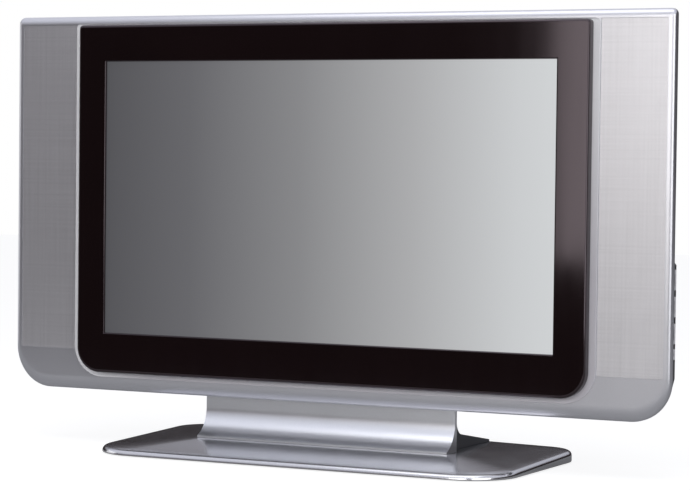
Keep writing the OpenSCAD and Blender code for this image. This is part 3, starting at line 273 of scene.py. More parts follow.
@dataclass(frozen=True)
class Finish:
    """A finish that makes its material once and hands it out again."""

    name: str

    def material(self) -> bpy.types.Material:
        """The material of this finish, made on first use.

        Returns:
            The material.
        """
        known = bpy.data.materials.get(self.name)
        if known:
            return known
        made = bpy.data.materials.new(self.name)
        made.use_nodes = True
        paint = Paint(made.node_tree)
        paint.node("ShaderNodeOutputMaterial", {}, {0: self.shader(paint)})
        return made

    def shader(self, paint: Paint) -> bpy.types.NodeSocket:
        """The shader of the surface, a Principled one unless a finish makes another."""
        return paint.node("ShaderNodeBsdfPrincipled", {}, self.surface(paint)).outputs[0]

    def surface(self, paint: Paint) -> dict[str, Any]:
        """Inputs of the Principled shader.

        Args:
            paint: The node tree to add nodes to.
        Returns:
            Values and links by socket name.
        """
        raise NotImplementedError


@dataclass(frozen=True)
class SilverLacquer(Finish):
    """Metal flake lacquer on a moulding: flakes of a few tenths of a millimetre, a faint orange peel."""

    colour: Colour = (0.63, 0.63, 0.665)
    metal: float = 0.80
    gloss: float = 0.29
    coat: float = 0.05

    def surface(self, paint: Paint) -> dict[str, Any]:
        """Random flake brightness over a broad mottling, with a fine peel under a clear coat.

        Args:
            paint: The node tree to add nodes to.
        Returns:
            Values and links of the Principled shader by socket name.
        """
        flake = paint.flakes(2600.0)
        cloud = paint.noise(11.0, 2.0)
        peel = paint.noise(420.0, 2.0)
        rub = paint.noise(26.0, 4.0)
        mixed = (flake * 0.65 + cloud * 0.35).clip()
        return {
            "Base Color": paint.blend(tone(self.colour, 0.95), tone(self.colour, 1.05), mixed),
            "Metallic": (self.metal - 0.05 + 0.1 * flake).clip(),
            "Roughness": self.gloss - 0.03 + 0.06 * rub,
            "Coat Weight": (self.coat + 0.12 * (rub - 0.5)).clip(),
            "Coat Roughness": 0.16,
            "Normal": paint.relief(peel, 0.03, 0.00012),
        }


@dataclass(frozen=True)
class DishLacquerPaintedLight(SilverLacquer):
    """Pale lacquer of the dish round the surround: its pale colour is a painted highlight, and a painted
    shade greys it along its lower edge and its lower right.
    """

    grey: Colour = (0.62, 0.60, 0.635)
    left_end: float = -0.315
    left_fade: float = 1.0 / 12.0
    high_end: float = 0.42
    high_fade: float = 0.2

    def surface(self, paint: Paint) -> dict[str, Any]:
        """The silver lacquer, its colour turned grey from the left end on and from the top down as painted
        shade.

        Args:
            paint: The node tree to add nodes to.
        Returns:
            Values and links of the Principled shader by socket name.
        """
        inputs = super().surface(paint)
        # Painted shade: grey right of the left end and below the top, so the pale painted highlight stays at
        # the left and the top.
        right = paint.along(Axis.X).rise(self.left_end, self.left_fade)
        low = paint.along(Axis.Z).rise(self.high_end, -self.high_fade)
        inputs["Base Color"] = paint.blend(inputs["Base Color"], self.grey, right * low)
        return inputs


@dataclass(frozen=True)
class GlossBlack(Finish):
    """Polished black moulding with a warm cast, hairline rub marks and a little dust."""

    colour: Colour = (0.0055, 0.0028, 0.0030)
    dust: Colour = (0.055, 0.05, 0.05)

    def surface(self, paint: Paint) -> dict[str, Any]:
        """Near black colour with sparse specks; roughness follows long faint rub marks.

        Args:
            paint: The node tree to add nodes to.
        Returns:
            Values and links of the Principled shader by socket name.
        """
        speck = (paint.cells(160.0) * -9.0 + 1.0).clip() * (paint.flakes(160.0) > 0.93)
        rub = paint.noise(60.0, 4.0, (1.0, 1.0, 0.06))
        wave = paint.noise(9.0, 1.0)
        warm = paint.blend(self.colour, tone(self.colour, 1.5), wave)
        return {
            "Base Color": paint.blend(warm, self.dust, speck * 0.35),
            "Roughness": 0.06 + 0.05 * rub + 0.12 * speck,
            "IOR": 1.62,
            "Specular Tint": (1.0, 0.84, 0.93),
            "Coat Weight": (0.02 + 0.06 * rub).clip(),
            "Coat Roughness": 0.06,
            "Normal": paint.relief(wave, 0.012, 0.0004),
        }


@dataclass(frozen=True)
class WovenMesh(Finish):
    """Silver woven speaker mesh: round threads over and under each other, with uneven thread brightness."""

    colour: Colour = (0.69, 0.68, 0.70)
    pitch: float = 0.0011
    under: float = 0.28

    def surface(self, paint: Paint) -> dict[str, Any]:
        """Thread height is the larger of two crossed rows of half sines, one raised in alternate squares.

        Args:
            paint: The node tree to add nodes to.
        Returns:
            Values and links of the Principled shader by socket name.
        """
        turn = np.pi / self.pitch
        across = (paint.along(Axis.X) * turn).wave()
        upright = (paint.along(Axis.Z) * turn).wave()
        over = (across * upright) > 0.0
        warp = (1.0 - across * across) * (1.0 - self.under + self.under * over)
        weft = (1.0 - upright * upright) * (1.0 - self.under * over)
        height = warp.most(weft)
        hole = (1.0 - height * 2.4).clip()
        slub_x = paint.noise(420.0, 2.0, (0.012, 1.0, 1.0))
        slub_z = paint.noise(420.0, 2.0, (1.0, 1.0, 0.012))
        linen = ((slub_x + slub_z - 1.0) * 1.5 + 0.5).clip()
        cloth = paint.blend(tone(self.colour, 0.94), tone(self.colour, 1.06), linen)
        return {
            "Base Color": paint.blend(cloth, tone(self.colour, 0.30), hole * 0.6),
            "Metallic": (0.86 - 0.3 * hole).clip(),
            "Roughness": 0.33 + 0.05 * linen,
            "Normal": paint.relief(height, 0.15, 0.00016),
        }


@dataclass(frozen=True)
class MouldedPlastic(Finish):
    """Spark textured plastic moulding."""

    colour: Colour = (0.030, 0.030, 0.033)
    gloss: float = 0.50
    grain: float = 900.0

    def surface(self, paint: Paint) -> dict[str, Any]:
        """Pebbled grain of about a millimetre, slow colour drift, polish where hands rub.

        Args:
            paint: The node tree to add nodes to.
        Returns:
            Values and links of the Principled shader by socket name.
        """
        pebble = paint.cells(self.grain, "SMOOTH_F1")
        fine = paint.noise(self.grain * 2.5, 2.0)
        drift = paint.noise(7.0, 3.0)
        mixed = (drift * 0.7 + pebble * 0.3).clip()
        return {
            "Base Color": paint.blend(tone(self.colour, 0.75), tone(self.colour, 1.35), mixed),
            "Roughness": self.gloss - 0.06 + 0.10 * drift + 0.06 * fine,
            "Normal": paint.relief(pebble + 0.4 * fine, 0.25, 0.0002),
        }


@dataclass(frozen=True)
class ScreenGlass(Finish):
    """Display glass glowing with a plain grey gradient, darker at the left, under a fine matt film: a
    painted reflection of the studio light, made as the screen's picture.
    """

    half: float = 0.2879
    pixel: float = 0.0004215
    painted_reflection_greys: tuple[tuple[float, Colour], ...] = (
        (0.0, (0.070, 0.070, 0.076)), (0.2, (0.112, 0.112, 0.120)), (0.45, (0.218, 0.219, 0.226)),
        (0.7, (0.385, 0.388, 0.395)), (0.92, (0.560, 0.575, 0.585)), (1.0, (0.600, 0.618, 0.628)))

    def surface(self, paint: Paint) -> dict[str, Any]:
        """The glowing grey, a painted reflection, rises smoothly from left to right and carries the faint
        grid of the picture cells.

        Args:
            paint: The node tree to add nodes to.
        Returns:
            Values and links of the Principled shader by socket name.
        """
        run = (paint.along(Axis.X) + self.half) / (2.0 * self.half)
        # Painted reflection: the glow below stands in for the studio light on the glass, darker at the left.
        grey = paint.node("ShaderNodeValToRGB", {"stops": self.painted_reflection_greys}, {0: run}).outputs[0]
        turn = 2.0 * np.pi / self.pixel
        rows = (paint.along(Axis.Z) * turn).wave()
        columns = (paint.along(Axis.X) * (turn * 3.0)).wave()
        grid = (0.5 + 0.25 * rows + 0.25 * columns).clip()
        matt = paint.noise(3000.0, 1.0)
        haze = paint.noise(5.0, 2.0)
        return {
            "Base Color": paint.blend((0.016, 0.016, 0.018), (0.026, 0.026, 0.028), grid),
            "Emission Color": paint.blend(grey, (0.0, 0.0, 0.0), grid * 0.05),
            "Emission Strength": 1.0,
            "Roughness": 0.34 + 0.05 * haze,
            "Normal": paint.relief(matt, 0.03, 0.0001),
        }


@dataclass(frozen=True)
class SheetMetal(Finish):
    """Zinc plated or tinned sheet, with rolled streaks and a faint spangle."""

    colour: Colour = (0.60, 0.61, 0.62)
    gloss: float = 0.36
    spangle: float = 110.0

    def surface(self, paint: Paint) -> dict[str, Any]:
        """Cell brightness of the spangle mixed with long rolled streaks.

        Args:
            paint: The node tree to add nodes to.
        Returns:
            Values and links of the Principled shader by socket name.
        """
        cell = paint.flakes(self.spangle)
        streak = paint.noise(300.0, 3.0, (0.03, 1.0, 1.0))
        stain = paint.noise(14.0, 4.0)
        mixed = (cell * 0.4 + streak * 0.6).clip()
        return {
            "Base Color": paint.blend(tone(self.colour, 0.80), tone(self.colour, 1.12), mixed),
            "Metallic": (0.92 + 0.08 * cell).clip(),
            "Roughness": self.gloss + 0.12 * (stain - 0.5) + 0.08 * (streak - 0.5),
            "Normal": paint.relief(streak, 0.06, 0.0001),
        }


@dataclass(frozen=True)
class CircuitBoard(Finish):
    """Printed board: lacquer over copper runs on the board, dark moulded parts where it stands higher."""

    lacquer: Colour = (0.012, 0.105, 0.045)
    copper: Colour = (0.045, 0.210, 0.085)
    part: Colour = (0.020, 0.020, 0.022)
    solder: Colour = (0.62, 0.60, 0.55)
    axis: Axis = Axis.Y
    level: float = 0.0217
    forward: bool = False

    def surface(self, paint: Paint) -> dict[str, Any]:
        """Runs lie where folded noise is thin; pads are dots; parts begin past the board's face.

        Args:
            paint: The node tree to add nodes to.
        Returns:
            Values and links of the Principled shader by socket name.
        """
        fold = (paint.noise(90.0, 1.0, (1.0, 0.1, 1.0)) - 0.5).size()
        run = ((0.05 - fold) * 40.0).clip()
        pad = (paint.cells(210.0) * -14.0 + 3.0).clip()
        rise = paint.along(self.axis)
        high = (self.level - rise if self.forward else rise - self.level) > 0.0
        tint = paint.flakes(70.0)
        plate = paint.blend(paint.blend(self.lacquer, self.copper, run), self.solder, pad)
        body = paint.blend(self.part, tone(self.part, 3.0), tint)
        return {
            "Base Color": paint.blend(plate, body, high),
            "Metallic": (pad * (1.0 - high)).clip() * 0.9,
            "Roughness": 0.34 + 0.16 * high + 0.06 * tint,
            "Normal": paint.relief(run + pad, 0.2, 0.00008),
        }


@dataclass(frozen=True)
class Fibre(Finish):
    """Matt fibrous stuff: cone paper, roll foam or foot rubber."""

    colour: Colour = (0.018, 0.018, 0.019)
    rough: float = 0.85
    fleck: float = 0.5

    def surface(self, paint: Paint) -> dict[str, Any]:
        """Short crossed fibres lift the colour and the surface a little.

        Args:
            paint: The node tree to add nodes to.
        Returns:
            Values and links of the Principled shader by socket name.
        """
        first = paint.noise(700.0, 3.0, (1.0, 1.0, 0.2))
        second = paint.noise(700.0, 3.0, (0.2, 1.0, 1.0))
        felt = first.most(second)
        pale = tone(self.colour, 1.0 + 2.0 * self.fleck)
        return {
            "Base Color": paint.blend(tone(self.colour, 0.7), pale, felt),
            "Roughness": self.rough - 0.08 + 0.10 * felt,
            "Normal": paint.relief(felt, 0.3, 0.00025),
        }


@dataclass(frozen=True)
class PaleMoulding(Finish):
    """White moulded plastic, diffuser sheet or coated lamp tube."""

    colour: Colour = (0.78, 0.78, 0.75)
    gloss: float = 0.45
    coat: float = 0.0

    def surface(self, paint: Paint) -> dict[str, Any]:
        """Slow yellowing over a fine even grain.

        Args:
            paint: The node tree to add nodes to.
        Returns:
            Values and links of the Principled shader by socket name.
        """
        drift = paint.noise(16.0, 3.0)
        fine = paint.noise(1600.0, 2.0)
        red, green, blue = self.colour
        return {
            "Base Color": paint.blend(self.colour, (red, green * 0.97, blue * 0.9), drift),
            "Roughness": self.gloss + 0.08 * (fine - 0.5),
            "Coat Weight": (self.coat + 0.05 * drift).clip(),
            "Normal": paint.relief(fine, 0.08, 0.0001),
        }


@dataclass(frozen=True)
class PaleFloor(Finish):
    """Matt studio floor that reads as white to the camera and keeps the shadow."""

    dim: Colour = (0.32, 0.32, 0.32)
    pale: Colour = (0.36, 0.36, 0.36)
    glow: float = 0.82
    mirrored: float = 0.08
    mirrored_near: float = 0.24
    near_x: Pair = (-0.75, 0.25)
    near_y: Pair = (-0.25, -0.125)

    def shader(self, paint: Paint) -> bpy.types.NodeSocket:
        """Matt colour and a glow: full to the camera, weak in reflections, stronger before the set.

        Args:
            paint: The node tree to add nodes to.
        Returns:
            The shader's socket.
        """
        near = paint.along(Axis.Y).rise(*self.near_y) * paint.along(Axis.X).rise(*self.near_x)
        seen = paint.eye().most(paint.ray("Is Glossy Ray") * (self.mirrored + self.mirrored_near * near))
        colour = paint.blend(self.dim, self.pale, paint.noise(40.0, 4.0))
        matt = paint.node("ShaderNodeBsdfDiffuse", {}, {"Color": colour})
        glow = paint.node("ShaderNodeEmission", {}, {"Color": (1.0, 1.0, 1.0), "Strength": seen * self.glow})
        return paint.node("ShaderNodeAddShader", {}, {0: matt.outputs[0], 1: glow.outputs[0]}).outputs[0]


SILVER = SilverLacquer("silver_lacquer")
SILVER_BASE = SilverLacquer("silver_base_lacquer", (0.60, 0.60, 0.62), 1.0, 0.18, 0.0)
# Painted light: the neck's silver is a lighter copy of the base's, standing in for the light on the neck.
SILVER_NECK_LIT = SilverLacquer("silver_neck_lacquer_lit", (0.79, 0.80, 0.83), 1.0, 0.29, 0.0)
# Painted highlight: a pale, nearly matt copy of the silver lacquer for the dish; its class adds painted
# shade.
SILVER_DISH_PAINTED_LIGHT = DishLacquerPaintedLight("silver_dish_painted_light", (0.90, 0.895, 0.91), 0.06, 0.50, 0.0)
SILVER_KEYS = SilverLacquer("silver_key_lacquer", (0.82, 0.81, 0.825), 0.15, 0.30, 0.40)
BLACK = GlossBlack("gloss_black_surround")
MESH = WovenMesh("woven_grille_mesh")
COVER = MouldedPlastic("rear_cover_plastic", (0.034, 0.034, 0.038), 0.52, 700.0)
POD = MouldedPlastic("key_housing_plastic", (0.022, 0.021, 0.023), 0.38, 1500.0)
CARCASS = MouldedPlastic("speaker_box_plastic", (0.020, 0.020, 0.021), 0.58, 800.0)
SOCKETS = MouldedPlastic("socket_plastic", (0.016, 0.016, 0.018), 0.32, 2200.0)
GLASS = ScreenGlass("screen_glass_painted_reflection")
ZINC = SheetMetal("zinc_sheet")
TIN = SheetMetal("tinned_can", (0.66, 0.65, 0.62), 0.28, 60.0)
WEIGHT = SheetMetal("weight_plate_steel", (0.34, 0.35, 0.37), 0.46, 40.0)
SCREW = SheetMetal("screw_steel", (0.50, 0.50, 0.52), 0.30, 900.0)
DARK_SCREW = SheetMetal("black_screw_steel", (0.07, 0.07, 0.075), 0.34, 900.0)
BASKET = SheetMetal("speaker_frame_steel", (0.10, 0.10, 0.105), 0.42, 300.0)
SIGNAL_BOARD = CircuitBoard("signal_board")
SUPPLY_BOARD = CircuitBoard("supply_board", (0.30, 0.17, 0.055), (0.36, 0.22, 0.08), (0.055, 0.052, 0.05))
DRIVE_BOARD = CircuitBoard("drive_board", level=-0.0051)
SWITCH_BOARD = CircuitBoard("switch_board", axis=Axis.X, level=0.3981)
RECEIVER_BOARD = CircuitBoard("receiver_board", level=-0.0337, forward=True)
CONE = Fibre("cone_paper", (0.022, 0.021, 0.021), 0.88, 0.9)
ROLL = Fibre("roll_foam", (0.013, 0.013, 0.014), 0.80, 0.4)
RUBBER = Fibre("foot_rubber", (0.015, 0.015, 0.016), 0.78, 0.3)
HOLDER = PaleMoulding("lamp_holder_plastic")
DIFFUSER = PaleMoulding("diffuser_sheet", (0.86, 0.86, 0.85), 0.6, 0.1)
TUBE = PaleMoulding("lamp_tube", (0.88, 0.89, 0.86), 0.16, 0.6)
FLOOR = PaleFloor("pale_floor")


# Surface tools


def drawn_in(box: Box, inset: float) -> Box:
    """A box made smaller by an inset on every side."""
    a0, a1, b0, b1 = box
    return (a0 + inset, a1 - inset, b0 + inset, b1 - inset)


def crossed(first: Sequence[float], second: Sequence[float]) -> np.ndarray:
    """Plane points at every crossing of two rows of places, one row each."""
    return np.stack([part.ravel() for part in np.meshgrid(first, second)], -1)


def rounded_loop(box: Box, radii: float | Pair, turn: int = 10, run: int = 5) -> np.ndarray:
    """Walks once round a rectangle with rounded corners, anticlockwise from its lower left corner.

    A corner is a quarter circle about its centre; a side is the straight run to the next corner, in equal
    steps.

    Args:
        box: Lowest and highest first coordinate, lowest and highest second coordinate.
        radii: Corner radius, or that of the lower and that of the upper corners.
        turn: Points on each corner.
        run: Points inside each side.
    Returns:
        Points in the plane, one row each.
    """
    given = np.atleast_1d(np.asarray(radii, float))
    r = np.repeat(given, 4 // len(given))
    a0, a1, b0, b1 = box
    across = np.array([a0, a1, a1, a0]) + r * [1, -1, -1, 1]
    upward = np.array([b0, b0, b1, b1]) + r * [1, 1, -1, -1]
    centre = np.stack([across, upward], -1)
    angle = np.radians([180.0, 270.0, 0.0, 90.0])[:, None] + np.linspace(0.0, np.pi / 2, turn)
    arcs = centre[:, None, :] + r[:, None, None] * np.stack([np.cos(angle), np.sin(angle)], -1)
    step = np.linspace(0.0, 1.0, run + 2)[1:-1]
    start = arcs[:, -1, None, :]
    end = np.roll(arcs[:, 0, :], -1, axis=0)[:, None, :]
    sides = start + (end - start) * step[None, :, None]
    return np.concatenate([arcs, sides], axis=1).reshape(-1, 2)


def raise_loops(loops: Sequence[np.ndarray], levels: Sequence[float], axis: Axis) -> np.ndarray:
    """Puts plane loops at levels along an axis.

    Args:
        loops: Loops in the plane, (rings, points, 2), in the order of the other two axes.
        levels: Level of each ring, or of each point of each ring.
        axis: The axis that the levels run along.
    Returns:
        Points in space, (rings, points, 3).
    """
    loops = np.asarray(loops, float)
    level = np.broadcast_to(np.asarray(levels, float).reshape(len(loops), -1), loops.shape[:2])
    parts = [loops[..., 0], loops[..., 1]]
    parts.insert(axis.value, level)
    return np.stack(parts, -1)


def quarter(steps: int) -> tuple[np.ndarray, np.ndarray]:
    """Quarter round of unit radius: how far in and how far back, from the face to the side."""
    angle = np.linspace(0.0, np.pi / 2, steps)
    return 1.0 - np.sin(angle), 1.0 - np.cos(angle)


def spun(profile: Sequence[Pair], centre: Sequence[float], axis: Axis, segments: int = 32) -> np.ndarray:
    """Turns a profile of radius and height about an axis through a centre.

    Args:
        profile: Radius and level of each ring.
        centre: Point on the axis, its own level left out.
        axis: The axis.
        segments: Points round the axis.
    Returns:
        Points in space, (rings, segments, 3).
    """
    radius, level = np.asarray(profile, float).T
    angle = np.linspace(0.0, 2.0 * np.pi, segments, endpoint=False)
    ring = np.stack([np.cos(angle), np.sin(angle)], -1)
    return raise_loops(np.asarray(centre, float) + radius[:, None, None] * ring, level, axis)


@dataclass
class Skin:
    """Patches of a surface, gathered as whole arrays and welded into one mesh."""

    points: list[np.ndarray] = field(default_factory=list)
    faces: list[np.ndarray] = field(default_factory=list)
    soft: list[np.ndarray] = field(default_factory=list)
    count: int = 0

    def keep(self, points: np.ndarray, faces: np.ndarray, soft: bool) -> None:
        """Stores one patch's points and faces.

        Args:
            points: Points of the patch.
            faces: Indices into those points, one row each.
            soft: Whether the faces are shaded smooth.
        """
        self.points.append(points.reshape(-1, 3))
        self.faces.append(faces + self.count)
        self.soft.append(np.full(len(faces), soft))
        self.count += points.size // 3

    def grid(self, surface: np.ndarray, rows_meet: bool = False, columns_meet: bool = True,
             soft: bool = True) -> None:
        """Adds a grid of quads.

        Args:
            surface: Points, (rows, columns, 3).
            rows_meet: Whether the last row joins the first.
            columns_meet: Whether the last column joins the first.
            soft: Whether the faces are shaded smooth.
        """
        rows, columns = surface.shape[:2]
        index = np.arange(rows * columns).reshape(rows, columns)
        if columns_meet:
            index = np.concatenate([index, index[:, :1]], 1)
        if rows_meet:
            index = np.concatenate([index, index[:1]], 0)
        quads = np.stack([index[:-1, :-1], index[:-1, 1:], index[1:, 1:], index[1:, :-1]], -1)
        self.keep(surface, quads.reshape(-1, 4), soft)

    def flat(self, outer: np.ndarray, holes: Sequence[np.ndarray], level: float, axis: Axis) -> None:
        """Fills a plane region by triangles.

        Args:
            outer: Outline in the plane.
            holes: Convex outlines left open.
            level: Place of the plane along the axis.
            axis: The plane's normal.
        """
        loops = [outer, *holes]
        sizes = np.array([len(loop) for loop in loops])
        first = np.cumsum(sizes) - sizes
        flat_points = np.concatenate(loops)
        index = np.arange(len(flat_points))
        following = index + 1
        following[first + sizes - 1] = first
        edges = np.stack([index, following], -1).tolist()
        _, _, triangles, *_ = delaunay_2d_cdt([Vector(p) for p in flat_points], edges, [], 1, 1e-6)
        group = np.repeat(np.arange(len(loops)), sizes)
        triangles = np.array(triangles)
        corner = group[triangles]
        in_hole = (corner[:, 0] == corner[:, 1]) & (corner[:, 1] == corner[:, 2]) & (corner[:, 0] > 0)
        self.keep(raise_loops([flat_points], [level], axis)[0], triangles[~in_hole], False)

    def closed(self, rings: np.ndarray, axis: Axis, soft: bool = True) -> None:
        """Adds a lofted solid: its rings, and a flat over the first and the last.

        Args:
            rings: Points, (rings, points, 3).
            axis: The axis that the rings follow.
            soft: Whether the sides are shaded smooth.
        """
        self.grid(rings, soft=soft)
        for ring in (rings[0], rings[-1]):
            self.flat(ring[:, axis.others], [], float(ring[0, axis.value]), axis)

    def block(self, low: Point, high: Point, axis: Axis, radius: float = 0.3) -> None:
        """Adds a small block with rounded edges along one axis.

        Args:
            low: Its lowest corner.
            high: Its highest corner.
            axis: The axis that the rounded edges follow.
            radius: Radius of those edges.
        """
        first, second = axis.others
        loop = rounded_loop((low[first], high[first], low[second], high[second]), radius, 4, 1)
        self.closed(raise_loops([loop, loop], [low[axis.value], high[axis.value]], axis), axis, False)

    def tubes(self, centres: np.ndarray, start: float, end: float, radius: float, bore: float) -> None:
        """Adds a row of posts along Y, each a ring of four corners turned about its axis.

        Args:
            centres: X and Z of each post.
            start: Y of the front end.
            end: Y of the rear end.
            radius: Outer radius.
            bore: Inner radius.
        """
        corners = [(radius, start), (radius, end), (bore, end), (bore, start)]
        for centre in centres:
            self.grid(spun(corners, centre, Axis.Y, 24), rows_meet=True)

    @staticmethod
    def normals(mesh: bpy.types.Mesh) -> np.ndarray:
        """Face normals of a mesh, each as long as its face's area.

        Args:
            mesh: The mesh.
        Returns:
            One vector for each face.
        """
        count = len(mesh.polygons)
        normal = np.empty(count * 3)
        area = np.empty(count)
        mesh.polygons.foreach_get("normal", normal)
        mesh.polygons.foreach_get("area", area)
        return normal.reshape(-1, 3) * area[:, None]

    def piece(self, name: str, finish: Finish, outward: Point | None = None) -> bpy.types.Object:
        """Welds the patches and makes the object, in metres, with its faces pointing outwards.

        Args:
            name: Name of the piece.
            finish: Its finish.
            outward: For an open sheet, the way that most of it faces.
        Returns:
            The object.
        """
        points = np.concatenate(self.points)
        _, keep, weld = np.unique(np.round(points, 4), axis=0, return_index=True, return_inverse=True)
        weld = weld.reshape(-1)
        welded = [weld[patch] for patch in self.faces]
        whole = [np.diff(np.sort(patch, axis=1), axis=1).all(axis=1) for patch in welded]
        faces = [face for patch, good in zip(welded, whole) for face in patch[good].tolist()]
        soft = np.concatenate([flags[good] for flags, good in zip(self.soft, whole)])
        mesh = bpy.data.meshes.new(name)
        mesh.from_pydata((points[keep] * MM).tolist(), [], faces)
        work = bmesh.new()
        work.from_mesh(mesh)
        bmesh.ops.recalc_face_normals(work, faces=work.faces)
        work.to_mesh(mesh)
        work.free()
        if outward is not None and (self.normals(mesh).sum(axis=0) @ np.array(outward)) < 0.0:
            mesh.flip_normals()
        mesh.set_sharp_from_angle(angle=np.radians(38.0))
        mesh.polygons.foreach_set("use_smooth", soft)
        mesh.materials.append(finish.material())
        made = bpy.data.objects.new(name, mesh)
        bpy.context.scene.collection.objects.link(made)
        return made


def ease_edges(piece: bpy.types.Object, width: float) -> None:
    """Rounds a piece's sharp edges over a width in millimetres.

    Args:
        piece: The piece.
        width: Width of the rounding, in millimetres.
    """
    bevel = piece.modifiers.new("eased_edges", "BEVEL")
    bevel.width = width * MM
    bevel.segments = 3
    bevel.limit_method = "ANGLE"
    bevel.angle_limit = np.radians(50.0)
    bevel.harden_normals = True


def settle(piece: bpy.types.Object, body: str, slot: str, *nodes: str) -> None:
    """Puts a finished piece on its body, in place of its solids, and reports it.

    Args:
        piece: The piece.
        body: The body that it rides on.
        slot: The slot of its finish; not used.
        nodes: The solids that it stands for.
    """
    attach(piece, body)
    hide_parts(*nodes)
    LOG.info("%s: %d faces, in place of %s", piece.name, len(piece.data.polygons), ", ".join(nodes))


# Sub-assemblies


@dataclass
class FrontMoulding:
    """Silver front moulding: rolled rim, pockets for the grilles, dish round the surround, lip and posts."""

    box: Box = (-419.7, 419.7, 65.0, 513.7)
    corners: Pair = (46.0, 6.5)
    least_corner: float = 0.5
    face: float = -29.0
    roll: float = 6.0
    roll_side: float = 6.8
    side_depth: float = 3.0
    roll_high: float = 9.0
    roll_low: float = 16.0
    wall_end: float = -18.0
    sheet_wall: float = 2.91
    pocket: Box = (335.3, 412.2, 113.0, 503.7)
    pocket_corner: float = 1.5
    pocket_floor: float = -26.0
    window: Box = (-313.9, 313.9, 109.4, 485.1)
    sound_hole: Box = (338.3, 401.4, 355.2, 379.2)
    hole_pitch: float = 27.0
    dish_width: float = 8.6
    dish_height: float = 1.5
    dish_gap: float = 0.1
    dish_low: float = 0.7
    dish_high: float = 0.18
    dish_corner: float = 0.85
    lip: Box = (-407.9, 407.9, 76.8, 501.9)
    lip_corners: Pair = (34.2, 4.0)
    lip_wall: float = 2.0
    lip_start: float = -27.0
    lip_end: float = -9.7
    housing_from: float = 390.0
    housing_between: Pair = (96.0, 244.0)
    post_radius: float = 4.5
    post_bore: float = 1.6
    cover_posts_end: float = 15.2
    panel_posts_end: float = 6.0

    def outline(self, share: float, side: float) -> np.ndarray:
        """Outline drawn in by a share of the roll above and below, and of that at the sides.

        Args:
            share: Share of the roll above and below.
            side: Share of the roll at the sides.
        Returns:
            Points in X and Z.
        """
        x0, x1, z0, z1 = self.box
        low, high = self.corners
        inset = self.roll_side * side
        box = (x0 + inset, x1 - inset, z0 + self.roll_low * share, z1 - self.roll_high * share)
        return rounded_loop(box, (low - inset, max(high - inset, self.least_corner)), 20, 6)

    def sheet(self, skin: Skin) -> None:
        """The rim is the outline carried back along a quarter round; the face is flat with openings.

        At the sides the round is a quarter of an ellipse, as wide as the side roll and as deep as its depth.

        Args:
            skin: The surface to add to.
        """
        inward, back = quarter(18)
        sides = 1.0 - np.sqrt(1.0 - np.clip(1.0 - back * self.roll / self.side_depth, 0.0, 1.0) ** 2)
        loops = [self.outline(share, side) for share, side in zip(inward, sides)]
        rim = raise_loops(loops, self.face + self.roll * back, Axis.Y)
        wall = raise_loops([self.outline(0.0, 0.0)], [self.wall_end], Axis.Y)
        skin.grid(np.concatenate([rim, wall]))
        window = rounded_loop(self.window, 1.0, 3, 3)
        pockets = {side: rounded_loop(side.of(self.pocket), self.pocket_corner, 5, 3) for side in Side}
        skin.flat(loops[0], [window, *pockets.values()], self.face, Axis.Y)
        for side, loop in pockets.items():
            skin.grid(raise_loops([loop, loop], [self.face, self.pocket_floor], Axis.Y))
            skin.flat(loop, self.sound_holes(side), self.pocket_floor, Axis.Y)

    def sound_holes(self, side: Side) -> list[np.ndarray]:
        """Three openings in front of a speaker, one above the other."""
        middle = rounded_loop(side.of(self.sound_hole), 1.0, 3, 1)
        return [middle + [0.0, bar * self.hole_pitch] for bar in (-1, 0, 1)]

    def front(self) -> None:
        """Makes the outer sheet and gives it its wall."""
        shell = Skin()
        self.sheet(shell)
        piece = shell.piece("front_moulding", SILVER, (0.0, -1.0, 0.0))
        wall = piece.modifiers.new("wall", "SOLIDIFY")
        wall.thickness = self.sheet_wall * MM
        wall.offset = -1.0
        settle(piece, "set", "silver_paint", "front_cabinet")

    def dish(self, skin: Skin) -> None:
        """A shallow dish round the surround: a hollow ramp rises outwards from it to a rounded crest.

        The ramp's height goes with the 1.6th power of the way out. Under and over the surround the dish
        takes a share of its width, and its lower corners grow by a share of it.

        Args:
            skin: The surface to add to.
        """
        x0, x1, z0, z1 = SURROUND_BOX
        low, high = SURROUND_CORNERS
        ramp = np.linspace(0.0, 1.0, 9)
        grow = self.dish_gap + self.dish_width * np.concatenate([0.92 * ramp, [0.96, 0.985, 1.0, 1.0]])
        rise = self.dish_height * np.concatenate([0.95 * ramp ** 1.6, [1.0, 0.92, 0.7, 0.0]])
        loops = [rounded_loop((x0 - g, x1 + g, z0 - self.dish_low * g, z1 + self.dish_high * g),
                              (low + self.dish_corner * g, high), 16, 8) for g in grow]
        skin.grid(raise_loops(loops, self.face - rise, Axis.Y), rows_meet=True)

    def lap(self, skin: Skin) -> None:
        """The lip is a thin wall inside the seam, carried round between the ends of the key housing.

        Args:
            skin: The surface to add to.
        """
        low, high = self.lip_corners
        thin = self.lip_wall
        outer = rounded_loop(self.lip, self.lip_corners, 16, 40)
        inner = rounded_loop(drawn_in(self.lip, thin), (low - thin, high - thin), 16, 40)
        x, z = outer.T
        foot, head = self.housing_between
        housing = (x > self.housing_from) & (z > foot) & (z < head)
        missing = int(housing.sum())
        start = int(np.argmax(housing)) + missing
        outer, inner = (np.roll(loop, -start, axis=0)[:len(loop) - missing] for loop in (outer, inner))
        levels = [self.lip_start, self.lip_end, self.lip_end, self.lip_start]
        wall = raise_loops([outer, outer, inner, inner], levels, Axis.Y)
        skin.grid(wall, rows_meet=True, columns_meet=False)
        skin.keep(wall[:, [0, -1]], np.array([[0, 2, 4, 6], [1, 3, 5, 7]]), False)

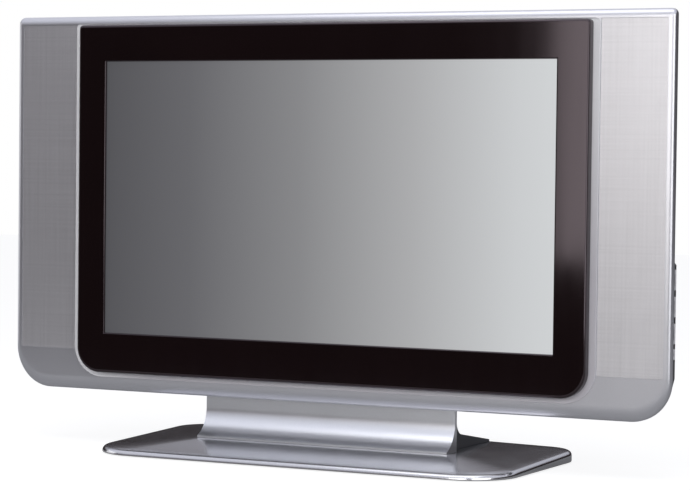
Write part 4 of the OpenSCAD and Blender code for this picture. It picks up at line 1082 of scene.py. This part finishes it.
    def trim(self) -> None:
        """Makes the dish round the surround, and the lip and the posts behind the face."""
        skin = Skin()
        self.dish(skin)
        self.lap(skin)
        high_posts = crossed([-389.7, -201.5, 0.0, 201.5, 389.7], [489.9])
        low_posts = crossed([-389.7, -235.0, 235.0, 389.7], [104.6])
        panel_posts = crossed([-318.7, 318.7], [167.25, 297.25, 427.25])
        for posts, end in ((high_posts, self.cover_posts_end), (low_posts, self.cover_posts_end),
                           (panel_posts, self.panel_posts_end)):
            skin.tubes(posts, self.lip_start, end, self.post_radius, self.post_bore)
        piece = skin.piece("front_moulding_trim", SILVER_DISH_PAINTED_LIGHT)
        settle(piece, "set", "silver_paint", "front_cabinet")

    def build(self) -> None:
        """Makes the moulding's sheet and its trim."""
        self.front()
        self.trim()


@dataclass
class PictureSurround:
    """Gloss black surround with a bevelled picture opening and screw posts behind."""

    least_corner: float = 0.6
    face: float = -40.0
    back: float = -29.0
    roll: float = 3.0
    hold: float = 0.6
    wall: float = 2.5
    skirt: float = 3.0
    bevel_foot: float = 0.3
    bevel: tuple[Pair, ...] = ((0.35, 0.95), (0.6, 0.35), (0.95, 0.08), (1.4, 0.0), (2.0, 0.0))
    picture: Box = (-287.9, 287.9, 135.4, 459.1)
    post_start: float = -38.0
    post_radius: float = 3.0
    post_bore: float = 1.25

    def outline(self, inset: float) -> np.ndarray:
        """Outline drawn in by an inset.

        Args:
            inset: How far it is drawn in.
        Returns:
            Points in X and Z.
        """
        low, high = SURROUND_CORNERS
        radii = (low - inset, max(high - inset, self.least_corner))
        return rounded_loop(drawn_in(SURROUND_BOX, inset), radii, 16, 8)

    def opening(self, grow: float) -> np.ndarray:
        """Picture opening made larger by an amount on every side."""
        return rounded_loop(drawn_in(self.picture, -grow), 0.4 + 0.2 * grow, 16, 8)

    def build(self) -> None:
        """Rings run from the opening up its bevel, over the face, round the edge and back inside."""
        inward, back = quarter(9)
        deep = self.back - self.face
        grown, bevel_at = zip((0.0, self.wall), (0.0, self.wall - self.bevel_foot), *self.bevel)
        insets = [self.roll + self.hold, *(self.roll * inward), 0.0, self.skirt, self.skirt]
        loops = [*(self.opening(grow) for grow in grown), *(self.outline(inset) for inset in insets)]
        depth = np.concatenate([bevel_at, [0.0], self.roll * back, [deep, deep, self.wall]])
        skin = Skin()
        skin.grid(raise_loops(loops, self.face + depth, Axis.Y), rows_meet=True)
        side_posts = crossed([-318.6, 318.6], [232.25, 362.25])
        end_posts = crossed([-100.0, 100.0], [99.9, 492.4])
        for posts in (side_posts, end_posts):
            skin.tubes(posts, self.post_start, self.back, self.post_radius, self.post_bore)
        piece = skin.piece("picture_surround", BLACK)
        settle(piece, "set", "gloss_black", "screen_surround")


@dataclass
class SpeakerGrille:
    """Mesh panel of one speaker, a shallow tray with its edges folded back."""

    side: Side
    box: Box = (335.36, 412.14, 113.06, 503.64)
    corner: float = 1.44
    face: float = -28.4
    back: float = -26.02
    fold: float = 0.25
    sheet: float = 1.0

    def loop(self, inset: float) -> np.ndarray:
        """Outline of the panel drawn in by an inset."""
        return rounded_loop(drawn_in(self.side.of(self.box), inset), self.corner - inset, 6, 4)

    def build(self) -> None:
        """Rings run from the face round the folded edge to the pocket's floor, and back up inside."""
        inward, back = quarter(5)
        loops = [self.loop(inset) for inset in (*(self.fold * inward), 0.0, self.sheet, self.sheet)]
        inside = [self.back, self.back, self.face + self.sheet]
        depth = np.concatenate([self.face + self.fold * back, inside])
        skin = Skin()
        skin.closed(raise_loops(loops, depth, Axis.Y), Axis.Y)
        name = self.side.name.lower()
        piece = skin.piece(f"speaker_mesh_{name}", MESH)
        settle(piece, "set", "grille_mesh", f"grille_{name}")


class Action(Enum):
    """How a key works: gap before its flange, the flange's overlap, its stems' start and their places."""

    ROCK = (0.0, 1.6, 403.8, (-8.0, 8.0))
    PUSH = (0.6, 1.2, 404.2, (0.0,))


@dataclass
class Key:
    """One silver key of the side strip, with its flange, stem or stems and, on a rocker, its axle."""

    node: str
    middle: float
    length: float
    action: Action
    depth_at: float = -6.0
    half: float = 5.0
    corner: float = 1.3
    back: float = 410.0
    top: float = 416.1
    edge: float = 0.9
    least_corner: float = 0.25
    top_rings: tuple[float, ...] = (1.8, 3.2, 4.4)
    sink: float = 0.45
    sink_from: float = 415.8
    flange_thick: float = 1.4
    flange_half: float = 6.0
    web_start: float = 407.2
    web_end: float = 411.0
    web_half_y: float = 5.0
    web_half_z: float = 2.2
    axle_at: float = 409.0
    axle_radius: float = 1.1
    axle_half: float = 7.9
    stem_radius: float = 1.4
    stem_end: float = 410.5

    def cap(self, skin: Skin) -> None:
        """Rings narrow round the top edge; the top sinks a little towards its middle line.

        The sink goes with the square of the nearness to the middle, and is half as deep on a push key.

        Args:
            skin: The surface to add to.
        """
        half_z = self.length / 2
        inward, back = quarter(6)
        inset = np.concatenate([[0.0], self.edge * inward[::-1], self.top_rings])
        upper = [self.top] * len(self.top_rings)
        level = np.concatenate([[self.back], self.top - self.edge * back[::-1], upper])
        y, z = self.depth_at, self.middle
        box = (y - self.half, y + self.half, z - half_z, z + half_z)
        radii = np.maximum(self.corner - inset, self.least_corner)
        loops = np.stack([rounded_loop(drawn_in(box, i), r, 5, 8) for i, r in zip(inset, radii)])
        near = 1.0 - np.abs(loops[..., 1] - z) / half_z
        deepest = self.sink if self.action is Action.ROCK else 0.5 * self.sink
        sink = deepest * near ** 2 * (level[:, None] > self.sink_from)
        rings = raise_loops(loops, level[:, None] - sink, Axis.X)
        skin.grid(rings)
        skin.flat(loops[0], [], self.back, Axis.X)
        middle = rings[-1].mean(axis=0)
        skin.grid(np.stack([rings[-1], np.broadcast_to(middle, rings[-1].shape)]))

    def build(self) -> None:
        """Joins the cap to its hidden parts: flange, web and axle, and the stems that press the switches."""
        skin = Skin()
        self.cap(skin)
        y, z = self.depth_at, self.middle
        gap, overlap, stem_start, stems = self.action.value
        start = self.back + gap
        end = start + self.flange_thick
        half_y, half_z = self.flange_half, self.length / 2 + overlap
        skin.block((start, y - half_y, z - half_z), (end, y + half_y, z + half_z), Axis.X)
        if self.action is Action.ROCK:
            half_y, half_z = self.web_half_y, self.web_half_z
            web_low = (self.web_start, y - half_y, z - half_z)
            skin.block(web_low, (self.web_end, y + half_y, z + half_z), Axis.X)
            axle = [(self.axle_radius, y - self.axle_half), (self.axle_radius, y + self.axle_half)]
            skin.closed(spun(axle, (self.axle_at, z), Axis.Y), Axis.Y)
        stem = [(self.stem_radius, stem_start), (self.stem_radius, self.stem_end)]
        for offset in stems:
            skin.closed(spun(stem, (y, z + offset), Axis.X, 20), Axis.X)
        piece = skin.piece(self.node.replace("key_", "cap_"), SILVER_KEYS)
        settle(piece, self.node, "silver_paint", self.node)


@dataclass
class TableStand:
    """Wide low base whose rim rises to the rear, with a silver neck front and a dark neck rear."""

    half: float = 261.0
    depth: float = 126.0
    corners: Pair = (58.0, 40.0)
    foot: float = 1.2
    foot_round: tuple[Pair, ...] = ((1.2, 0.0), (0.4, 0.35), (0.0, 1.2))
    rim_front: float = 7.4
    rim_rear: float = 14.7
    roll: float = 5.4
    roll_turn: float = 84.0
    wall: float = 2.8
    eave_drop: float = 2.9
    plateau: float = 16.8
    plateau_box: Box = (-167.0, 167.0, -37.0, 114.0)
    plateau_corner: float = 18.0
    ceiling_inset: float = 3.0
    slot: Box = (-111.5, 111.5, 6.7, 10.7)
    slot_corner: float = 0.8
    neck_top: float = 72.7
    neck_low: float = 17.0
    front_half: float = 161.0
    front_wall: float = 3.0
    front_plane: float = -8.0
    front_face: float = -13.0
    front_turn: float = 34.0
    front_reach: float = 22.0
    front_ease: float = 1.4
    post_x: float = 130.0
    post_z: float = 60.7
    post_start: float = -12.0
    post_end: float = 14.2
    post_radius: float = 4.0
    post_bore: float = 1.6
    rear_half: float = 150.0
    rear_wall: float = 2.5
    rear_plane: float = -7.7
    rear_face: float = 17.0
    rear_turn: float = 16.0
    rear_height: float = 35.2
    rear_end: float = 112.0
    rear_ease: float = 0.9

    def plan(self, inset: float) -> np.ndarray:
        """Plan of the base drawn in by an inset.

        Args:
            inset: How far it is drawn in.
        Returns:
            Points in X and Y.
        """
        front, rear = self.corners
        box = drawn_in((-self.half, self.half, -self.depth, self.depth), inset)
        return rounded_loop(box, (front - inset, rear - inset), 24, 14)

    def rim_at(self, y: np.ndarray) -> np.ndarray:
        """Height of the rim at a depth, straight from the front edge to the rear edge."""
        return self.rim_front + (self.rim_rear - self.rim_front) * (y + self.depth) / (2.0 * self.depth)

    def flat_top(self, inset: float) -> np.ndarray:
        """Plan of the flat under the neck drawn in by an inset."""
        return rounded_loop(drawn_in(self.plateau_box, inset), self.plateau_corner, 24, 14)

    def base(self) -> None:
        """Rings climb the rim, turn over a quarter round that rises to the rear, and run up to the flat."""
        insets, heights = zip((self.wall, 0.0), *self.foot_round)
        low = raise_loops([self.plan(inset) for inset in insets], self.foot + np.array(heights), Axis.Z)
        angle = np.radians(np.linspace(0.0, self.roll_turn, 12))
        loops = np.stack([self.plan(inset) for inset in self.roll * (1.0 - np.cos(angle))])
        level = self.rim_at(loops[..., 1]) + self.roll * (np.sin(angle) - 1.0)[:, None]
        rim = raise_loops(loops, level, Axis.Z)
        flat = raise_loops([self.flat_top(0.0)], [self.plateau], Axis.Z)
        roof = rim[-1:] + (flat - rim[-1:]) * np.linspace(0.0, 1.0, 9)[1:, None, None]
        skin = Skin()
        skin.grid(np.concatenate([low, rim, roof]))
        eave = self.plan(self.wall)
        under_eave = raise_loops([eave], self.rim_at(eave[:, 1]) - self.eave_drop, Axis.Z)
        inner = self.flat_top(self.ceiling_inset)
        ceiling = self.plateau - self.rear_wall
        skin.grid(np.concatenate([low[:1], under_eave, raise_loops([inner], [ceiling], Axis.Z)]))
        slot = rounded_loop(self.slot, self.slot_corner, 4, 3)
        skin.flat(self.flat_top(0.0), [slot], self.plateau, Axis.Z)
        skin.flat(inner, [slot], ceiling, Axis.Z)
        skin.grid(raise_loops([slot, slot], [self.plateau, ceiling], Axis.Z))
        piece = skin.piece("base_shell", SILVER_BASE)
        settle(piece, "set", "silver_paint", "stand_base")

    def front_line(self, inset: float) -> np.ndarray:
        """Side view of the neck's front: straight down, a hollow turn to the front, and the foot's edge.

        Args:
            inset: Distance behind the outer face.
        Returns:
            Points in Y and Z, from the top down.
        """
        radius = self.front_turn + inset
        centre = np.array([self.front_face - self.front_turn, self.neck_low + self.front_turn])
        if inset == 0.0:
            end = np.arccos((self.front_turn - self.front_reach) / radius)
        else:
            end = np.arcsin(self.front_turn / radius)
        bend = np.linspace(0.0, end, 24)
        turn = centre + radius * np.stack([np.cos(bend), -np.sin(bend)], -1)
        top = np.linspace([turn[0, 0], self.neck_top], turn[0], 4)[:-1]
        return np.concatenate([top, turn, [[turn[-1, 0], self.neck_low]]])

    def rear_line(self, inset: float) -> np.ndarray:
        """Side view of the neck's rear: straight down, a hollow turn to the back, then a foot that falls.

        Args:
            inset: Distance inside the outer face.
        Returns:
            Points in Y and Z, from the top down.
        """
        drop = self.rear_height - self.neck_low - self.rear_wall
        fall = np.arctan(drop / (self.rear_end - self.rear_face))
        radius = self.rear_turn + inset
        lift = self.rear_height - self.rear_turn * np.tan(fall) + self.rear_turn / np.cos(fall)
        centre = np.array([self.rear_face + self.rear_turn, lift])
        bend = np.linspace(0.0, np.pi / 2 - fall, 24)
        turn = centre - radius * np.stack([np.cos(bend), np.sin(bend)], -1)
        top = np.linspace([turn[0, 0], self.neck_top], turn[0], 4)[:-1]
        y_end = self.rear_end - inset
        z_end = self.rear_height - inset / np.cos(fall) - (y_end - self.rear_face) * np.tan(fall)
        return np.concatenate([top, turn, [[y_end, z_end], [y_end, self.neck_low]]])

    def neck(self, outer: np.ndarray, inner: np.ndarray, half: float, wall: float, plane: float) -> Skin:
        """Carries a side view along X as a thin sheet, with an end wall at each side.

        Args:
            outer: Line of the outer face, from the top to the foot.
            inner: Line of the inner face, with as many points.
            half: Half of the width.
            wall: Thickness of the end walls.
            plane: Depth at which the end walls stop.
        Returns:
            The gathered surface.
        """
        heights = np.linspace(self.neck_low, self.neck_top, len(inner))
        behind = np.stack([np.full(len(inner), plane), heights], -1)
        sheet = np.concatenate([outer, inner[::-1]])
        end = np.concatenate([outer, behind])
        stations = [-half, -half + wall, -half + wall, half - wall, half - wall, half]
        skin = Skin()
        skin.grid(raise_loops([end, end, sheet, sheet, end, end], stations, Axis.X))
        for side in Side:
            skin.flat(end, [], side.value * half, Axis.X)
        return skin

    def neck_front(self) -> None:
        """Makes the silver front of the neck with its two screw posts."""
        wall = self.front_wall
        outer, inner = self.front_line(0.0), self.front_line(wall)
        skin = self.neck(outer, inner, self.front_half, wall, self.front_plane)
        posts = crossed([-self.post_x, self.post_x], [self.post_z])
        skin.tubes(posts, self.post_start, self.post_end, self.post_radius, self.post_bore)
        piece = skin.piece("neck_cover_front", SILVER_NECK_LIT)
        ease_edges(piece, self.front_ease)
        settle(piece, "set", "silver_paint", "neck_front")

    def neck_rear(self) -> None:
        """Makes the dark rear of the neck with its long foot."""
        wall = self.rear_wall
        outer, inner = self.rear_line(0.0), self.rear_line(wall)
        skin = self.neck(outer, inner, self.rear_half, wall, self.rear_plane)
        piece = skin.piece("neck_cover_rear", COVER)
        ease_edges(piece, self.rear_ease)
        settle(piece, "set", "dark_plastic", "neck_rear")

    def build(self) -> None:
        """Makes the base and both halves of the neck."""
        self.base()
        self.neck_front()
        self.neck_rear()


@dataclass
class CarriedSolids:
    """Solids that keep their own shape and take a finish."""

    finishes: dict[Finish, tuple[str, ...]] = field(default_factory=lambda: {
        COVER: ("rear_cover",),
        POD: ("control_pod",),
        CARCASS: ("speaker_box_left", "speaker_box_right", "lcd_mid_frame"),
        GLASS: ("lcd_glass",),
        ZINC: ("lcd_frame", "backlight_tray", "chassis_plate", "neck_bracket"),
        DIFFUSER: ("optical_sheets",),
        HOLDER: ("lamp_holders",),
        TUBE: ("backlight_lamps",),
        DRIVE_BOARD: ("inverter_board", "timing_board"),
        SIGNAL_BOARD: ("main_board",),
        SUPPLY_BOARD: ("power_board",),
        SWITCH_BOARD: ("key_board",),
        RECEIVER_BOARD: ("ir_receiver",),
        TIN: ("tuner", "video_socket", "terminal_plate"),
        SOCKETS: ("scart_sockets", "phono_sockets", "mains_inlet"),
        BASKET: ("driver_left", "driver_right"),
        CONE: ("cone_left", "cone_right"),
        ROLL: ("cone_roll_left", "cone_roll_right"),
        RUBBER: ("rubber_feet",),
        WEIGHT: ("base_plate",),
        DARK_SCREW: ("rear_cover_screws", "neck_screws"),
        SCREW: ("surround_screws", "chassis_screws", "board_screws", "speaker_screws", "base_screws",
                "stand_screws", "bracket_screws"),
    })

    def dress(self) -> None:
        """Gives every listed solid its finish."""
        for finish, nodes in self.finishes.items():
            for node in nodes:
                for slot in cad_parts[node].material_slots:
                    slot.material = finish.material()
                LOG.info("%s: finish %s", node, finish.name)


@dataclass(frozen=True)
class Lamp:
    """A soft rectangular light: where it stands, what it faces, its size, power and colour."""

    name: str
    at: Point
    to: Point
    size: Pair
    watts: float
    tint: Colour

    def build(self) -> None:
        """Adds the light to the scene."""
        data = bpy.data.lights.new(self.name, "AREA")
        data.shape = "RECTANGLE"
        data.size, data.size_y = self.size
        data.energy = self.watts
        data.color = self.tint
        light = bpy.data.objects.new(self.name, data)
        light.location = self.at
        light.rotation_euler = (Vector(self.to) - Vector(self.at)).to_track_quat("-Z", "Y").to_euler()
        bpy.context.scene.collection.objects.link(light)


@dataclass
class Studio:
    """Pale floor, soft lights, white backdrop and the camera of the photograph."""

    camera_at: Point = (1.3149, -2.6212, 0.3556)
    swing: float = 26.41
    pitch: float = 2.12
    roll: float = 0.67
    lens: float = 132.1
    sensor: float = 36.0
    floor_x: Pair = (-6.0, 6.0)
    floor_y: Pair = (-0.75, 6.0)
    # Where each part of the room begins and over what it brightens, as the sine of its height angle.
    ceiling: Pair = (0.265, 0.055)
    front_wall: Pair = (0.07, 0.16)
    crown: Pair = (0.36, 0.20)
    dark_level: float = 0.025
    ceiling_level: float = 0.58
    wall_level: float = 0.52
    crown_level: float = 0.37
    warm: Colour = (1.0, 0.80, 0.82)
    cool: Colour = (0.88, 0.90, 1.0)
    white: Colour = (1.0, 1.0, 1.0)
    lamps: tuple[Lamp, ...] = (
        Lamp("key_panel", (0.13, -2.6, 0.75), (0.13, 0.0, 0.75), (1.73, 1.25), 15.6, (1.0, 0.985, 0.97)),
        Lamp("top_panel", (0.1, -0.9, 2.3), (0.0, 0.0, 0.2), (2.4, 1.5), 14.0, (1.0, 1.0, 1.0)),
        Lamp("side_panel", (2.2, -1.7, 0.7), (0.3, 0.0, 0.3), (2.0, 1.5), 22.0, (0.98, 0.99, 1.0)),
        Lamp("left_panel", (-2.2, -0.3, 0.5), (-0.4, 0.0, 0.3), (1.2, 1.0), 4.0, (0.97, 0.98, 1.0)))

    def camera(self) -> None:
        """Looks along a direction swung from +Y, pitched down and rolled, each in degrees."""
        th, ph, ro = np.radians([self.swing, self.pitch, self.roll])
        ahead = Vector((-np.sin(th) * np.cos(ph), np.cos(th) * np.cos(ph), -np.sin(ph)))
        right = Vector((np.cos(th), np.sin(th), 0.0))
        up = right.cross(ahead)
        x = right * np.cos(ro) + up * np.sin(ro)
        y = up * np.cos(ro) - right * np.sin(ro)
        data = bpy.data.cameras.new("view")
        data.lens = self.lens
        data.sensor_width = self.sensor
        data.sensor_fit = "HORIZONTAL"
        view = bpy.data.objects.new("view", data)
        turn = Matrix((x, y, -ahead)).transposed().to_4x4()
        view.matrix_world = Matrix.Translation(self.camera_at) @ turn
        bpy.context.scene.collection.objects.link(view)
        bpy.context.scene.camera = view

    def floor(self) -> None:
        """A wide flat sheet under the set."""
        x, y = np.meshgrid(np.linspace(*self.floor_x, 25), np.linspace(*self.floor_y, 25))
        skin = Skin()
        skin.grid(np.stack([x, y, np.zeros_like(x)], -1) / MM, columns_meet=False)
        sheet = skin.piece("floor_sheet", FLOOR, (0.0, 0.0, 1.0))

    def world(self) -> None:
        """White behind the object for the eye; for reflections a room that is bright overhead."""
        scene = bpy.context.scene
        scene.world = bpy.data.worlds.new("room")
        scene.world.use_nodes = True
        paint = Paint(scene.world.node_tree)
        direction = paint.node("ShaderNodeTexCoord", {}, {}).outputs["Generated"]
        height = paint.split(direction, Axis.Z)
        lift = height.rise(*self.ceiling)
        wall = height.rise(*self.front_wall) * paint.split(direction, Axis.Y).rise(0.0, -0.5)
        crown = height.rise(*self.crown)
        gloss = paint.ray("Is Glossy Ray")
        eye = paint.eye()
        ambient = 0.12 + 0.20 * height.rise(-0.05, 0.125) + 0.22 * height.most(0.0)
        bright = (self.ceiling_level * lift).most(self.wall_level * wall)
        room = self.dark_level + bright + self.crown_level * crown
        level = ambient * (1.0 - gloss) + room * gloss
        level = level * (1.0 - eye) + eye
        tint = paint.blend(self.warm, self.cool, lift.most(wall).most(1.0 - gloss))
        tint = paint.blend(tint, self.white, eye)
        back = paint.node("ShaderNodeBackground", {}, {"Color": tint, "Strength": level})
        paint.node("ShaderNodeOutputWorld", {}, {0: back.outputs[0]})

    def build(self) -> None:
        """Sets up view, floor, room and lights."""
        bpy.context.scene.view_settings.view_transform = "Standard"
        self.camera()
        self.floor()
        self.world()
        for lamp in self.lamps:
            lamp.build()


def main() -> None:
    logging.basicConfig(level=logging.INFO, format="%(name)s: %(message)s")
    Studio().build()
    keys = [Key("key_programme", 220.0, 22.6, Action.ROCK), Key("key_volume", 190.7, 22.6, Action.ROCK),
            Key("key_menu", 161.4, 22.6, Action.ROCK), Key("key_power", 139.0, 12.0, Action.PUSH)]
    grilles = [SpeakerGrille(side) for side in Side]
    for assembly in (FrontMoulding(), PictureSurround(), *grilles, *keys, TableStand()):
        assembly.build()
    CarriedSolids().dress()


if __name__ == "__main__":
    main()
